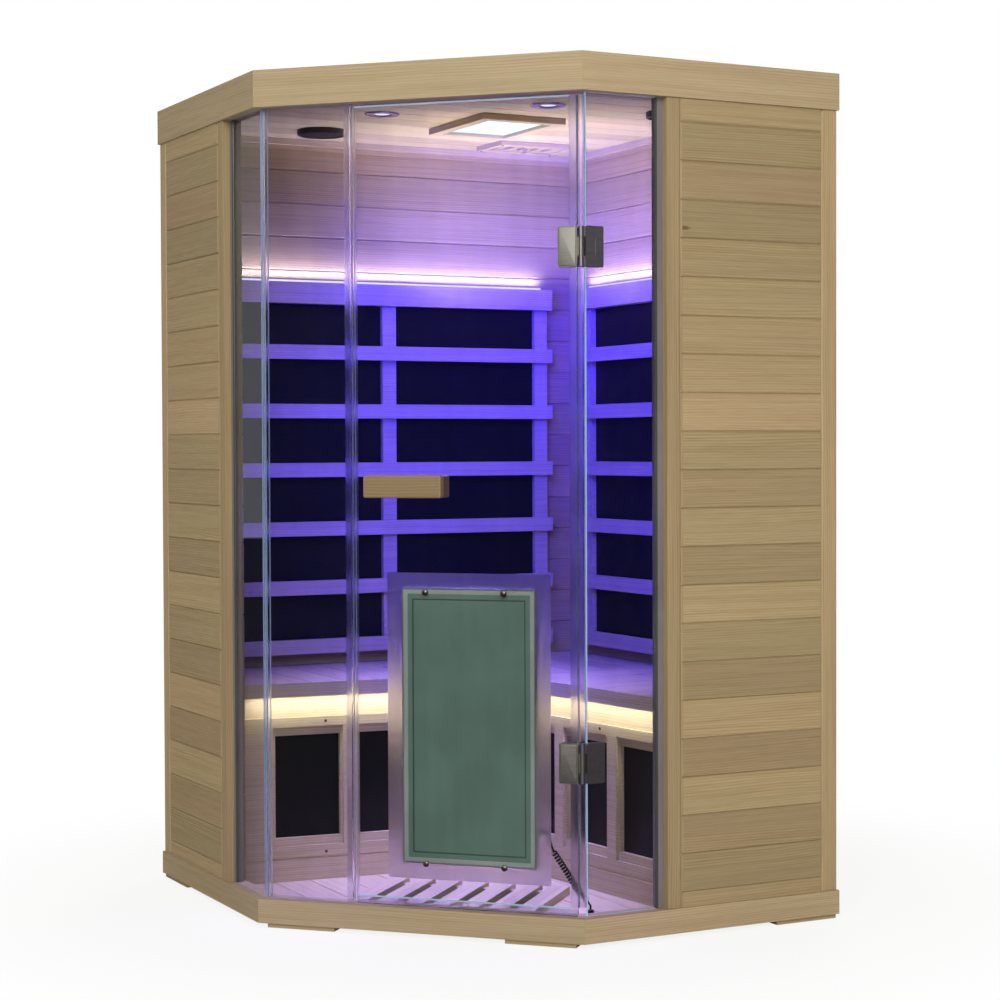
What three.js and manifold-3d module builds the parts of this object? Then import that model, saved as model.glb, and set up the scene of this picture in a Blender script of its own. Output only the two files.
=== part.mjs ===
// Corner infrared sauna cabin for two people: a square timber room with one corner cut off at
// 45 degrees and closed there by a glass front. Millimetres, Z up, standing on Z = 0, with the
// glass front towards -Y and the origin under the middle of the plan.
import * as THREE from "three";
import { mergeVertices } from "three/addons/utils/BufferGeometryUtils.js";
import Module from "manifold-3d";

// Plan and main heights
const SIDE = 1200; // each back wall, measured along the skirting
const RETURN = 664; // skirting of each side wall, from the back to the cut-off corner
const BODY_H = 1900; // from the skirting's underside to the top of the roof fascia
const FIT = 0.3; // gap between pieces that touch
const FOOT_H = 10;
const FOOT_L = 160;
const FOOT_W = 44;
const FOOT_INSET = 6; // from the skirting's outer face
const SKIRT_H = 54;
const FASCIA_H = 82;

// Timber walls of tongue and groove boards
const WALL_SETBACK = 5; // wall's outer face behind the skirting's face
const WALL_T = 51;
const SIDE_WALL_L = 453; // from the back of the plan to the side wall's free end
const BOARD_PITCH = 84;
const TOP_BOARD_H = 51; // part board under the fascia
const GROOVE_D = 3; // V joint between two boards
const FRONT_STILE_W = 35;
const BACK_STILE_W = 40;

// Floor, duckboard and floor heater
const FLOOR_RISE = 36; // floor's top above the skirting's underside
const DECK_T = 18;
const GRILLE_X = -183; // left edge of the first slat
const GRILLE_INSET = 60; // front ends of the slats behind the front skirting's face
const GRILLE_L = 278;
const GRILLE_SLATS = 7;
const GRILLE_SLAT_W = 43;
const GRILLE_GAP = 22;
const GRILLE_T = 18;
const GRILLE_BEARING = 20; // width of deck that carries each slat end
const BATTEN_W = 24;
const BATTEN_H = 12;
const HEATER_T = 7; // every carbon heater panel

// Roof
const CEILING_RISE = 27; // ceiling above the fascia's underside
const CEILING_T = 12;
const COVER_T = 6;
const COVER_DROP = 4; // roof cover below the fascia's top edge
const CROWN_H = 15;
const CROWN_T = 12;
const POWER_UNIT = { length: 260, width: 180, height: 28, along: 480, across: 250 };

// Back guards: rails and slats on three stiles, with a heater behind
const GUARD_CORNER_LEFT = 77; // slat ends from the inner corner of the back walls
const GUARD_CORNER_RIGHT = 100;
const GUARD_SIDE = 68; // slat ends from the side wall
const GUARD_STILE_W = 38;
const GUARD_STILE_T = 14;
const GUARD_STILE_SET = 8; // stile's edge behind the slat ends
const SLAT_H = 36;
const SLAT_T = 16;
const SLAT_PITCH = 149.5;
const SLATS = 6;
const SLAT_RISE = 31; // lowest slat above the bench
const TOP_RAIL_H = 54;
const LED_W = 8;
const LED_H = 6;
const LED_SHORT = 24; // strip stops short of the rail's ends

// Corner bench, deeper in the middle than at the side walls
const SEAT_RISE = 509; // seat's top above the skirting's underside
const SEAT_T = 18;
const SEAT_END_D = 384; // wall to front edge, beside each side wall
const SEAT_CORNER_D = 449; // wall to front edge, at the inner corner
const LIP_H = 33;
const LIP_D = 19;
const LIP_OVERHANG = 22; // lip in front of the bench front's frame
const FRONT_T = 18;
const FRONT_END_GAP = 2.4; // keeps the slanted front's end clear of the side wall
const LEDGE_RISE = 389; // above the floor: where the frame stops and the lit board begins
const LEDGE_D = 8;
const KICK_H = 53; // kick board under the frame
const CALF_BASE = 103; // openings above the floor
const CALF_H = 243;
const CALF_W = 160;
const CALF_STILE_W = 48;
const CALF_COUNT = 3;
const CALF_REBATE = 20; // sunk margin above and below each opening
const CALF_REBATE_SIDE = 6;
const CALF_REBATE_D = 6;
const CALF_END_LEFT = 83; // last opening to the side wall
const CALF_END_RIGHT = 34;
const CALF_LAP = 8; // heater behind the edges of the openings

// Glass front
const GLASS_T = 8;
const GLASS_INSET = 25; // glass's outer face behind the skirting's face
const EDGE_GAP = 10; // glass edges from the corner of the glass line
const CHANNEL_INSET = 22;
const CHANNEL_W = 25;
const CHANNEL_D = 14;
const CHANNEL_BASE = 3;
const SEAL_PROUD = 0.5; // corner seal past the glass faces
const DOOR_X = -150; // door's free edge
const DOOR_SPLIT = 11; // from the door's free edge to the fixed glass
const DOOR_BASE_GAP = 4;
const DOOR_HEAD_GAP = 6;
const STRIKE_WEB = 4;
const STRIKE_JAW_L = 12;
const STRIKE_JAW_T = 1.2;
const STRIKE_LAP = 4; // stop lip behind the door's edge

// Glass hinges
const HINGE_RISES = { lower: 340, upper: 1446 }; // above the skirting's underside
const HINGE_H = 87;
const LEAF_W = 43;
const LEAF_T = 5;
const LEAF_GAP = 7; // leaf's edge from the hinge axis
const LEAF_CORNER = 4;
const KNUCKLE_R = 6;
const KNUCKLE_H = 40; // door knuckle, between the two fixed ones
const KNUCKLE_GAP = 0.5;
const PIN_R = 3.5;
const PIN_CLEARANCE = 0.1;
const SLOT_W = 4;
const SLOT_H = 38;
const SLOT_D = 1.5;

// Door handle, a wood block on each face
const HANDLE_X = -123;
const HANDLE_L = 180;
const HANDLE_RISE = 952;
const HANDLE_H = 50;
const HANDLE_OUTER_T = 24;
const HANDLE_INNER_T = 32;
const HANDLE_CORNER = 6;
const HANDLE_EDGE = 3;

// Heater on the inside of the door
const DOOR_HEATER_X = -44;
const DOOR_HEATER_W = 306;
const DOOR_HEATER_RISE = 149;
const DOOR_HEATER_H = 605;
const CASING_T = 22;
const CASING_BORDER = 12;
const CASING_FIELD = 24; // second step of the back, in from the edge
const CASING_STEP = 1.5;
const EMITTER_MARGIN = 18;
const BOSS_R = 6;
const BOSS_L = 8;

// Curly cord from the door heater to the floor beside the hinges
const CORD_D = 4.2;
const CURL_R = 5.3; // middle of the cord from the axis of the curls
const CURLS = 19;
const CURL_STEPS = 8;
const CORD_SIDES = 5;
const LEAD_STEPS = 12;
const GLAND_R = 7;
const GLAND_H = 14;
const CORD_EXIT = { inset: 45, z: 240 }; // middle of the casing's boss
const CORD_FOOT = { x: 356, inset: 125 }; // middle of the floor gland

// Ceiling fittings: places are distances from the back corner along the two back walls
const DOWNLIGHT = { near: 545, far: 832, flange: 41, neck: 30, glow: 20, thick: 4, height: 18 };
const SPEAKER = { near: 232, far: 855, flange: 60, basket: 42, thick: 14, height: 22 };
const ROUND_CLEARANCE = 1; // hole in the ceiling round a fitting
const LIGHT = { along: 517, across: 517, length: 220, width: 297, border: 26, rebate: 4 };
const LIGHT_H = 15;
const DIFFUSER_T = 4;
const DIFFUSER_LEDGE = 7; // diffuser's seat below the ceiling
const VENT = { along: 269, across: 206, length: 220, width: 140, border: 18, lip: 6 };
const VENT_H = 12;
const VENT_LIP_T = 3;
const SHUTTER_T = 4;
const VENT_SLOTS = 4;
const VENT_SLOT_W = 18; // also the shutter's travel
const VENT_SLOT_L = 70;
const KNOB = { length: 12, width: 22, height: 11 };

// Touch panel on the inside of the right side wall
const PANEL = { along: 190, rise: 1150, length: 150, height: 110, thick: 12 };

// Levels and lines that follow from the sizes above
const MITRE = Math.SQRT2 - 1; // draw-in of an edge at a 135 degree corner, per unit of inset
const depth = (SIDE + RETURN) / Math.SQRT2;
const wallIn = WALL_SETBACK + WALL_T;
const clearIn = wallIn + FIT;
const skirtTop = FOOT_H + SKIRT_H;
const roofTop = FOOT_H + BODY_H;
const fasciaBase = roofTop - FASCIA_H;
const ceilingZ = fasciaBase + CEILING_RISE;
const floorZ = FOOT_H + FLOOR_RISE;
const seatZ = FOOT_H + SEAT_RISE;
const glassMid = GLASS_INSET + GLASS_T / 2;
const glassBack = GLASS_INSET + GLASS_T;
const halfFront = (inset) => (SIDE - RETURN) / Math.SQRT2 - MITRE * inset;

const wasm = await Module();
wasm.setup();

// Solids

function solidOf(geometry) {
  const bare = geometry.clone();
  bare.deleteAttribute("normal");
  bare.deleteAttribute("uv");
  const merged = mergeVertices(bare, 1e-4);
  const mesh = new wasm.Mesh({
    numProp: 3,
    vertProperties: merged.attributes.position.array,
    triVerts: new Uint32Array(merged.index.array),
  });
  return new wasm.Manifold(mesh);
}

function geometryOf(solid) {
  const mesh = solid.getMesh();
  const geometry = new THREE.BufferGeometry();
  geometry.setAttribute("position", new THREE.BufferAttribute(mesh.vertProperties, 3));
  geometry.setIndex(new THREE.BufferAttribute(mesh.triVerts, 1));
  const flat = geometry.toNonIndexed();
  flat.computeVertexNormals();
  return flat;
}

function cut(body, tools) {
  return geometryOf(tools.reduce((rest, tool) => rest.subtract(solidOf(tool)), solidOf(body)));
}

function join(pieces) {
  return geometryOf(pieces.map(solidOf).reduce((sum, piece) => sum.add(piece)));
}

function box(low, high) {
  const size = high.map((value, i) => value - low[i]);
  const geometry = new THREE.BoxGeometry(...size);
  return geometry.translate(...low.map((value, i) => value + size[i] / 2));
}

// Upright prism over an outline of [x, y] points, with holes given as points or as paths.
function prism(points, z0, z1, holes = []) {
  const shape = new THREE.Shape(points.map(([x, y]) => new THREE.Vector2(x, y)));
  for (const hole of holes) {
    const outline = (points) => new THREE.Path(points.map(([x, y]) => new THREE.Vector2(x, y)));
    shape.holes.push(Array.isArray(hole) ? outline(hole) : hole);
  }
  const options = { depth: z1 - z0, bevelEnabled: false, curveSegments: 12 };
  return new THREE.ExtrudeGeometry(shape, options).translate(0, 0, z0);
}

function rectangle(x0, y0, x1, y1) {
  return [
    [x0, y0],
    [x1, y0],
    [x1, y1],
    [x0, y1],
  ];
}

function roundHole(x, y, radius) {
  const path = new THREE.Path();
  return path.absarc(x, y, radius, 0, 2 * Math.PI);
}

// Upright plate with round corners in the XZ plane, from y0 to y1, with its edges softened.
function roundedPlate(x0, z0, x1, z1, y0, y1, corner, edge) {
  const shape = new THREE.Shape();
  shape.moveTo(x0 + corner, z0);
  shape.lineTo(x1 - corner, z0);
  shape.absarc(x1 - corner, z0 + corner, corner, -Math.PI / 2, 0);
  shape.lineTo(x1, z1 - corner);
  shape.absarc(x1 - corner, z1 - corner, corner, 0, Math.PI / 2);
  shape.lineTo(x0 + corner, z1);
  shape.absarc(x0 + corner, z1 - corner, corner, Math.PI / 2, Math.PI);
  shape.lineTo(x0, z0 + corner);
  shape.absarc(x0 + corner, z0 + corner, corner, Math.PI, 1.5 * Math.PI);
  const options = {
    depth: y1 - y0 - 2 * edge,
    bevelEnabled: edge > 0,
    bevelThickness: edge,
    bevelSize: edge,
    bevelOffset: -edge,
    bevelSegments: 2,
    curveSegments: 4,
  };
  const geometry = new THREE.ExtrudeGeometry(shape, options);
  return geometry.rotateX(Math.PI / 2).translate(0, y1 - edge, 0);
}

// Bar along X whose square section stands on its corner: it cuts a V joint of the board depth.
function jointBar(length) {
  const side = GROOVE_D * Math.SQRT2;
  return new THREE.BoxGeometry(length, side, side).rotateX(Math.PI / 4);
}

// Turned solid round Z, from [radius, z] points that start and end on the axis.
function turned(points, segments) {
  const outline = points.map(([r, z]) => new THREE.Vector2(r, z));
  return new THREE.LatheGeometry(outline, segments).rotateX(Math.PI / 2);
}

function cylinder(radius, height, segments) {
  return new THREE.CylinderGeometry(radius, radius, height, segments).rotateX(Math.PI / 2);
}

// The five corners of the plan at an inset, from the back corner, in distances along the back walls.
function plan(inset) {
  const low = inset;
  const high = SIDE - inset;
  const turn = RETURN - MITRE * inset;
  return [
    [low, low],
    [high, low],
    [high, turn],
    [turn, high],
    [low, high],
  ];
}

// A point of the front, from the middle and behind the front skirting's face, as the plan counts it.
function fromFront([x, inset]) {
  const ahead = depth - inset;
  return [(ahead - x) / Math.SQRT2, (ahead + x) / Math.SQRT2];
}

// Swaps the two back walls, for the mirrored copy of a piece.
const swapped = (points, swap) => (swap ? points.map(([a, b]) => [b, a]) : points);

// A piece of a back wall: along the wall, out from it and up.
function wallBox(low, high, swap) {
  const order = ([along, out, up]) => (swap ? [out, along, up] : [along, out, up]);
  return box(order(low), order(high));
}

const cabin = new THREE.Group();
const corner = new THREE.Group(); // X and Y run along the two back walls from the back corner
corner.position.y = depth / 2;
corner.rotation.z = -0.75 * Math.PI;
const front = new THREE.Group(); // Y runs back from the front skirting's face
front.position.y = -depth / 2;
cabin.add(corner, front);

const WOOD = { color: 0xd8b98c, roughness: 0.6, metalness: 0 };
const PALE_WOOD = { color: 0xe2cba8, roughness: 0.6, metalness: 0 };
const CARBON = { color: 0x101012, roughness: 0.55, metalness: 0 };
const GLASS = { color: 0xcfe5df, roughness: 0.04, metalness: 0, transparent: true, opacity: 0.2 };
const CLEAR_PLASTIC = { color: 0xdfe8ee, roughness: 0.2, metalness: 0, transparent: true, opacity: 0.4 };
const STEEL = { color: 0xa7a59c, roughness: 0.35, metalness: 1 };
const ALUMINIUM = { color: 0xb3b3ae, roughness: 0.4, metalness: 1 };
const BLACK_PLASTIC = { color: 0x17171a, roughness: 0.5, metalness: 0 };
const CASING = { color: 0x7f9c8d, roughness: 0.5, metalness: 0 };
const CHROME = { color: 0xd0d0d6, roughness: 0.15, metalness: 1 };
const LED = { color: 0xffffff, roughness: 0.4, metalness: 0, emissive: 0xcdbcff };
const WARM_LED = { color: 0xffffff, roughness: 0.4, metalness: 0, emissive: 0xffe2b0 };

function add(group, name, geometry, finish) {
  const mesh = new THREE.Mesh(geometry, new THREE.MeshStandardMaterial(finish));
  mesh.name = name;
  group.add(mesh);
  return mesh;
}

// Base frame, feet and floor

function addBase() {
  add(corner, "base_frame", prism(plan(0), FOOT_H, skirtTop, [plan(wallIn)]), WOOD);
  const pad = (x, y, long, deep) => box([x, y, 0], [x + long, y + deep, FOOT_H - FIT]);
  const frontEnd = halfFront(FOOT_INSET + FOOT_W);
  add(front, "foot_front_left", pad(-frontEnd, FOOT_INSET, FOOT_L, FOOT_W), WOOD);
  add(front, "foot_front_right", pad(frontEnd - FOOT_L, FOOT_INSET, FOOT_L, FOOT_W), WOOD);
  const far = SIDE - FOOT_INSET - FOOT_W;
  add(corner, "foot_left", pad(far, FOOT_INSET, FOOT_W, FOOT_L), WOOD);
  add(corner, "foot_right", pad(FOOT_INSET, far, FOOT_L, FOOT_W), WOOD);
  add(corner, "foot_back", pad(FOOT_INSET, FOOT_INSET, FOOT_L, FOOT_W), WOOD);
}

const grilleRight = GRILLE_X + GRILLE_SLATS * (GRILLE_SLAT_W + GRILLE_GAP) - GRILLE_GAP;
const grilleBack = GRILLE_INSET + GRILLE_L;

// The opening in the deck under the duckboard, with the deck left under the slat ends.
const floorOpening = {
  x0: GRILLE_X + GRILLE_BEARING,
  y0: GRILLE_INSET + GRILLE_BEARING,
  x1: grilleRight - GRILLE_BEARING,
  y1: grilleBack - GRILLE_BEARING,
};

function addFloor() {
  const { x0, y0, x1, y1 } = floorOpening;
  const opening = rectangle(x0, y0, x1, y1).map(fromFront);
  const deck = prism(plan(clearIn), floorZ - DECK_T, floorZ, [opening]);
  const joints = [];
  for (let a = wallIn + BOARD_PITCH; a < SIDE - wallIn; a += BOARD_PITCH) {
    joints.push(jointBar(2 * SIDE).rotateZ(Math.PI / 2).translate(a, SIDE / 2, floorZ));
  }
  add(corner, "floor_deck", cut(deck, joints), PALE_WOOD);

  const base = floorZ + FIT;
  const slats = [];
  for (let i = 0; i < GRILLE_SLATS; i += 1) {
    const x = GRILLE_X + i * (GRILLE_SLAT_W + GRILLE_GAP);
    slats.push(box([x, GRILLE_INSET, base], [x + GRILLE_SLAT_W, grilleBack, base + GRILLE_T]));
  }
  const bury = GRILLE_T / 2;
  const battenTop = base + bury;
  const battens = [y0 + FIT, y1 - FIT - BATTEN_W].map((y) =>
    box([x0 + FIT, y, floorZ - BATTEN_H], [x1 - FIT, y + BATTEN_W, battenTop]),
  );
  add(front, "floor_grille", join([...slats, ...battens]), PALE_WOOD);

  const heaterTop = floorZ - DECK_T - FIT;
  const low = [x0 - GRILLE_BEARING, y0 - GRILLE_BEARING, heaterTop - HEATER_T];
  const high = [x1 + GRILLE_BEARING, y1 + GRILLE_BEARING, heaterTop];
  add(front, "floor_heater", box(low, high), CARBON);
}

// Walls, each drawn along X from its start, with its outer face at Y = 0

function wall(length, startStile, endStile) {
  const height = fasciaBase - skirtTop - 2 * FIT;
  const boards = length - startStile - endStile;
  const tools = [startStile, length - endStile].map((x) =>
    jointBar(height + BOARD_PITCH).rotateY(Math.PI / 2).translate(x, 0, height / 2),
  );
  for (let z = height + FIT - TOP_BOARD_H; z > GROOVE_D; z -= BOARD_PITCH) {
    tools.push(jointBar(boards).translate(startStile + boards / 2, 0, z));
    tools.push(jointBar(length + BOARD_PITCH).translate(length / 2, WALL_T, z));
  }
  return cut(box([0, 0, 0], [length, WALL_T, height]), tools);
}

function addWall(name, geometry, a, b, quarterTurns) {
  const mesh = add(corner, name, geometry, WOOD);
  mesh.position.set(a, b, skirtTop + FIT);
  mesh.rotation.z = (quarterTurns * Math.PI) / 2;
}

function addWalls() {
  const sideLength = SIDE_WALL_L - WALL_SETBACK;
  const outer = SIDE - WALL_SETBACK;
  const innerEnd = SIDE - clearIn;
  addWall("left_wall", wall(sideLength, BACK_STILE_W, FRONT_STILE_W), outer, WALL_SETBACK, 1);
  addWall("right_wall", wall(sideLength, FRONT_STILE_W, BACK_STILE_W), SIDE_WALL_L, outer, 2);
  const leftLength = innerEnd - WALL_SETBACK;
  const rightLength = innerEnd - clearIn;
  const backWall = (length) => wall(length, BACK_STILE_W, BACK_STILE_W);
  addWall("back_left_wall", backWall(leftLength), WALL_SETBACK, WALL_SETBACK, 0);
  addWall("back_right_wall", backWall(rightLength), WALL_SETBACK, innerEnd, -1);
}

// Roof: fascia, boarded ceiling with holes for its fittings, cover and power unit

// The air passage over the vent's slots.
const ventHole = rectangle(
  VENT.along - VENT_SLOTS * VENT_SLOT_W,
  VENT.across - VENT_SLOT_L / 2,
  VENT.along + VENT_SLOTS * VENT_SLOT_W,
  VENT.across + VENT_SLOT_L / 2,
);

function addRoof() {
  add(corner, "roof_fascia", prism(plan(0), fasciaBase, roofTop, [plan(wallIn)]), WOOD);
  const rounds = [
    [DOWNLIGHT, DOWNLIGHT.neck],
    [SPEAKER, SPEAKER.basket],
  ].flatMap(([fitting, radius]) => [
    roundHole(fitting.near, fitting.far, radius + ROUND_CLEARANCE),
    roundHole(fitting.far, fitting.near, radius + ROUND_CLEARANCE),
  ]);
  const top = ceilingZ + CEILING_T;
  const ceiling = prism(plan(clearIn), ceilingZ, top, [...rounds, ventHole]);
  const joints = [];
  for (let b = wallIn + BOARD_PITCH; b < SIDE - wallIn; b += BOARD_PITCH) {
    joints.push(jointBar(2 * SIDE).translate(SIDE / 2, b, ceilingZ));
  }
  add(corner, "ceiling_panel", cut(ceiling, joints), PALE_WOOD);
  const coverTop = roofTop - COVER_DROP;
  add(corner, "roof_cover", prism(plan(clearIn), coverTop - COVER_T, coverTop, [ventHole]), WOOD);
  const { length, width, height, along, across } = POWER_UNIT;
  const low = [along, across, top + FIT];
  const high = [along + length, across + width, top + FIT + height];
  add(corner, "power_unit", box(low, high), BLACK_PLASTIC);

  const near = clearIn;
  const far = SIDE - clearIn;
  const end = SIDE_WALL_L - FIT;
  const outline = [
    [far, end],
    [far, near],
    [near, near],
    [near, far],
    [end, far],
    [end, far - CROWN_T],
    [near + CROWN_T, far - CROWN_T],
    [near + CROWN_T, near + CROWN_T],
    [far - CROWN_T, near + CROWN_T],
    [far - CROWN_T, end],
  ];
  const crownTop = ceilingZ - FIT;
  add(corner, "crown_moulding", prism(outline, crownTop - CROWN_H, crownTop), PALE_WOOD);
}

// Back guards, their heaters and LED strips

const guardBack = clearIn + HEATER_T + FIT;
const slatFront = guardBack + GUARD_STILE_T + SLAT_T;
const slatBase = seatZ + SLAT_RISE;
const railMid = slatBase + SLAT_H / 2 + SLATS * SLAT_PITCH;
const railTop = railMid + TOP_RAIL_H / 2;

function addGuard(side, cornerMargin, swap) {
  const start = wallIn + cornerMargin;
  const end = SIDE - wallIn - GUARD_SIDE;
  const bury = GUARD_STILE_T - 1;
  const pieces = [wallBox([start, guardBack, railTop - TOP_RAIL_H], [end, slatFront, railTop], swap)];
  for (let i = 0; i < SLATS; i += 1) {
    const z = slatBase + i * SLAT_PITCH;
    pieces.push(wallBox([start, guardBack + bury, z], [end, slatFront, z + SLAT_H], swap));
  }
  const lastStile = end - GUARD_STILE_SET - GUARD_STILE_W;
  const firstStile = start + GUARD_STILE_SET;
  for (const at of [firstStile, (firstStile + lastStile) / 2, lastStile]) {
    const high = [at + GUARD_STILE_W, guardBack + GUARD_STILE_T, railMid];
    pieces.push(wallBox([at, guardBack, slatBase], high, swap));
  }
  add(corner, `back_${side}_guard`, join(pieces), WOOD);
  const low = [firstStile, clearIn, slatBase];
  const high = [lastStile + GUARD_STILE_W, clearIn + HEATER_T, railMid];
  add(corner, `back_${side}_heater`, wallBox(low, high, swap), CARBON);
  const ledLow = [start + LED_SHORT, guardBack, railTop + FIT];
  const ledHigh = [end - LED_SHORT, guardBack + LED_W, railTop + FIT + LED_H];
  add(corner, `back_${side}_led_strip`, wallBox(ledLow, ledHigh, swap), LED);
}

// Corner bench: seats, lips, framed fronts with heaters, and the LED strip behind the lip

const seatEnd = wallIn + SEAT_END_D;
const seatCorner = wallIn + SEAT_CORNER_D;
const seatSide = SIDE - clearIn;
const seatSlant = (seatCorner - seatEnd) / (seatSide - seatCorner);

// The front edge of the left leg, moved back by an offset: its ends at the side wall and at the corner.
function benchLine(offset) {
  const turn = seatCorner - offset / (1 + seatSlant);
  return [
    [seatSide, seatEnd - offset],
    [turn, turn],
  ];
}

function addSeat(name, outline, lip, joints) {
  const plate = prism(outline, seatZ - SEAT_T, seatZ);
  const nose = prism(lip, seatZ - LIP_H, seatZ - SEAT_T / 2);
  add(corner, name, cut(join([plate, nose]), joints), PALE_WOOD);
}

function addSeats() {
  const near = clearIn;
  const leftOutline = [[near, near], [seatSide, near], ...benchLine(0), [near, seatCorner]];
  const leftLip = [...benchLine(0), [seatCorner, seatCorner - LIP_D], [seatSide, seatEnd - LIP_D]];
  const leftJoints = [];
  const rightJoints = [];
  for (let at = wallIn + BOARD_PITCH; at < seatSide; at += BOARD_PITCH) {
    const across = jointBar(2 * SIDE).rotateZ(Math.PI / 2);
    leftJoints.push(across.translate(at, SIDE / 2, seatZ));
    rightJoints.push(jointBar(2 * SIDE).translate(SIDE / 2, at, seatZ));
  }
  addSeat("bench_seat_left", leftOutline, leftLip, leftJoints);
  const start = seatCorner + FIT;
  const startEdge = seatCorner - seatSlant * FIT;
  const rightEdge = [
    [startEdge, start],
    [seatEnd, seatSide],
  ];
  const rightOutline = [[near, start], ...rightEdge, [near, seatSide]];
  const rightLip = [...rightEdge, [seatEnd - LIP_D, seatSide], [startEdge - LIP_D, start]];
  addSeat("bench_seat_right", rightOutline, rightLip, rightJoints);

  const [outerEnd, outerTurn] = benchLine(LIP_D + 2);
  const [innerEnd, innerTurn] = benchLine(LIP_D + 2 + LED_W);
  const outline = [
    outerEnd,
    outerTurn,
    ...swapped([outerEnd, innerEnd], true),
    innerTurn,
    innerEnd,
  ];
  const top = seatZ - SEAT_T - FIT;
  add(corner, "bench_led_strip", prism(outline, top - LED_H, top), WARM_LED);
}

// A bench front along X from its start, with its face at Y = 0 and its back at Y = -FRONT_T.
function benchFront(length, openings) {
  const height = seatZ - SEAT_T - floorZ - 2 * FIT;
  const base = CALF_BASE - FIT;
  const kick = jointBar(length + BOARD_PITCH).translate(length / 2, 0, KICK_H - FIT);
  const tools = [box([-1, -LEDGE_D, LEDGE_RISE - FIT], [length + 1, 1, height + 1]), kick];
  for (const x of openings) {
    const rebateLow = [x - CALF_REBATE_SIDE, -CALF_REBATE_D, base - CALF_REBATE];
    const rebateHigh = [x + CALF_W + CALF_REBATE_SIDE, 1, base + CALF_H + CALF_REBATE];
    tools.push(box(rebateLow, rebateHigh));
    tools.push(box([x, -FRONT_T - 1, base], [x + CALF_W, 1, base + CALF_H]));
  }
  return cut(box([0, -FRONT_T, 0], [length, 0, height]), tools);
}

function addBenchFront(side, swap) {
  const [end, turn] = benchLine(LIP_OVERHANG).map(([a, b]) => new THREE.Vector2(a, b));
  const length = end.distanceTo(turn) - FRONT_END_GAP - FIT;
  const slant = Math.atan2(end.y - turn.y, end.x - turn.x);
  const margin = (swap ? CALF_END_RIGHT : CALF_END_LEFT) - FRONT_END_GAP;
  const openings = [];
  for (let i = 0; i < CALF_COUNT; i += 1) {
    const fromEnd = margin + i * (CALF_W + CALF_STILE_W);
    openings.push(swap ? fromEnd : length - fromEnd - CALF_W);
  }
  const panel = add(corner, `bench_front_${side}`, benchFront(length, openings), WOOD);
  const first = Math.min(...openings) - CALF_LAP;
  const last = Math.max(...openings) + CALF_W + CALF_LAP;
  const back = -FRONT_T - FIT;
  const low = [first, back - HEATER_T, CALF_BASE - FIT - CALF_LAP];
  const high = [last, back, CALF_BASE - FIT + CALF_H + CALF_LAP];
  const heater = add(corner, `calf_heater_${side}`, box(low, high), CARBON);
  for (const mesh of [panel, heater]) {
    const along = new THREE.Vector2(Math.cos(slant), Math.sin(slant));
    const start = swap ? end.clone().addScaledVector(along, -FRONT_END_GAP) : turn.clone();
    if (!swap) start.addScaledVector(along, FIT);
    mesh.position.set(swap ? start.y : start.x, swap ? start.x : start.y, floorZ + FIT);
    mesh.rotation.z = swap ? -Math.PI / 2 - slant : slant;
  }
}

// Glass, its channels and clear seals

const glassZ0 = skirtTop + FIT;
const glassZ1 = fasciaBase - FIT;
const axisX = halfFront(glassMid);

function addSideGlass(side, swap) {
  const start = SIDE_WALL_L + FIT;
  const out = SIDE - CHANNEL_INSET;
  const back = out - CHANNEL_W;
  const slotOut = SIDE - GLASS_INSET + FIT;
  const slotIn = SIDE - glassBack - FIT;
  const channel = [
    [out, start],
    [out, start + CHANNEL_D],
    [slotOut, start + CHANNEL_D],
    [slotOut, start + CHANNEL_BASE],
    [slotIn, start + CHANNEL_BASE],
    [slotIn, start + CHANNEL_D],
    [back, start + CHANNEL_D],
    [back, start],
  ];
  add(corner, `${side}_glass_channel`, prism(swapped(channel, swap), glassZ0, glassZ1), ALUMINIUM);
  const end = RETURN - MITRE * glassMid - EDGE_GAP;
  const pane = rectangle(SIDE - glassBack, start + CHANNEL_BASE + FIT, SIDE - GLASS_INSET, end);
  add(corner, `${side}_side_glass`, prism(swapped(pane, swap), glassZ0, glassZ1), GLASS);
}

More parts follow.
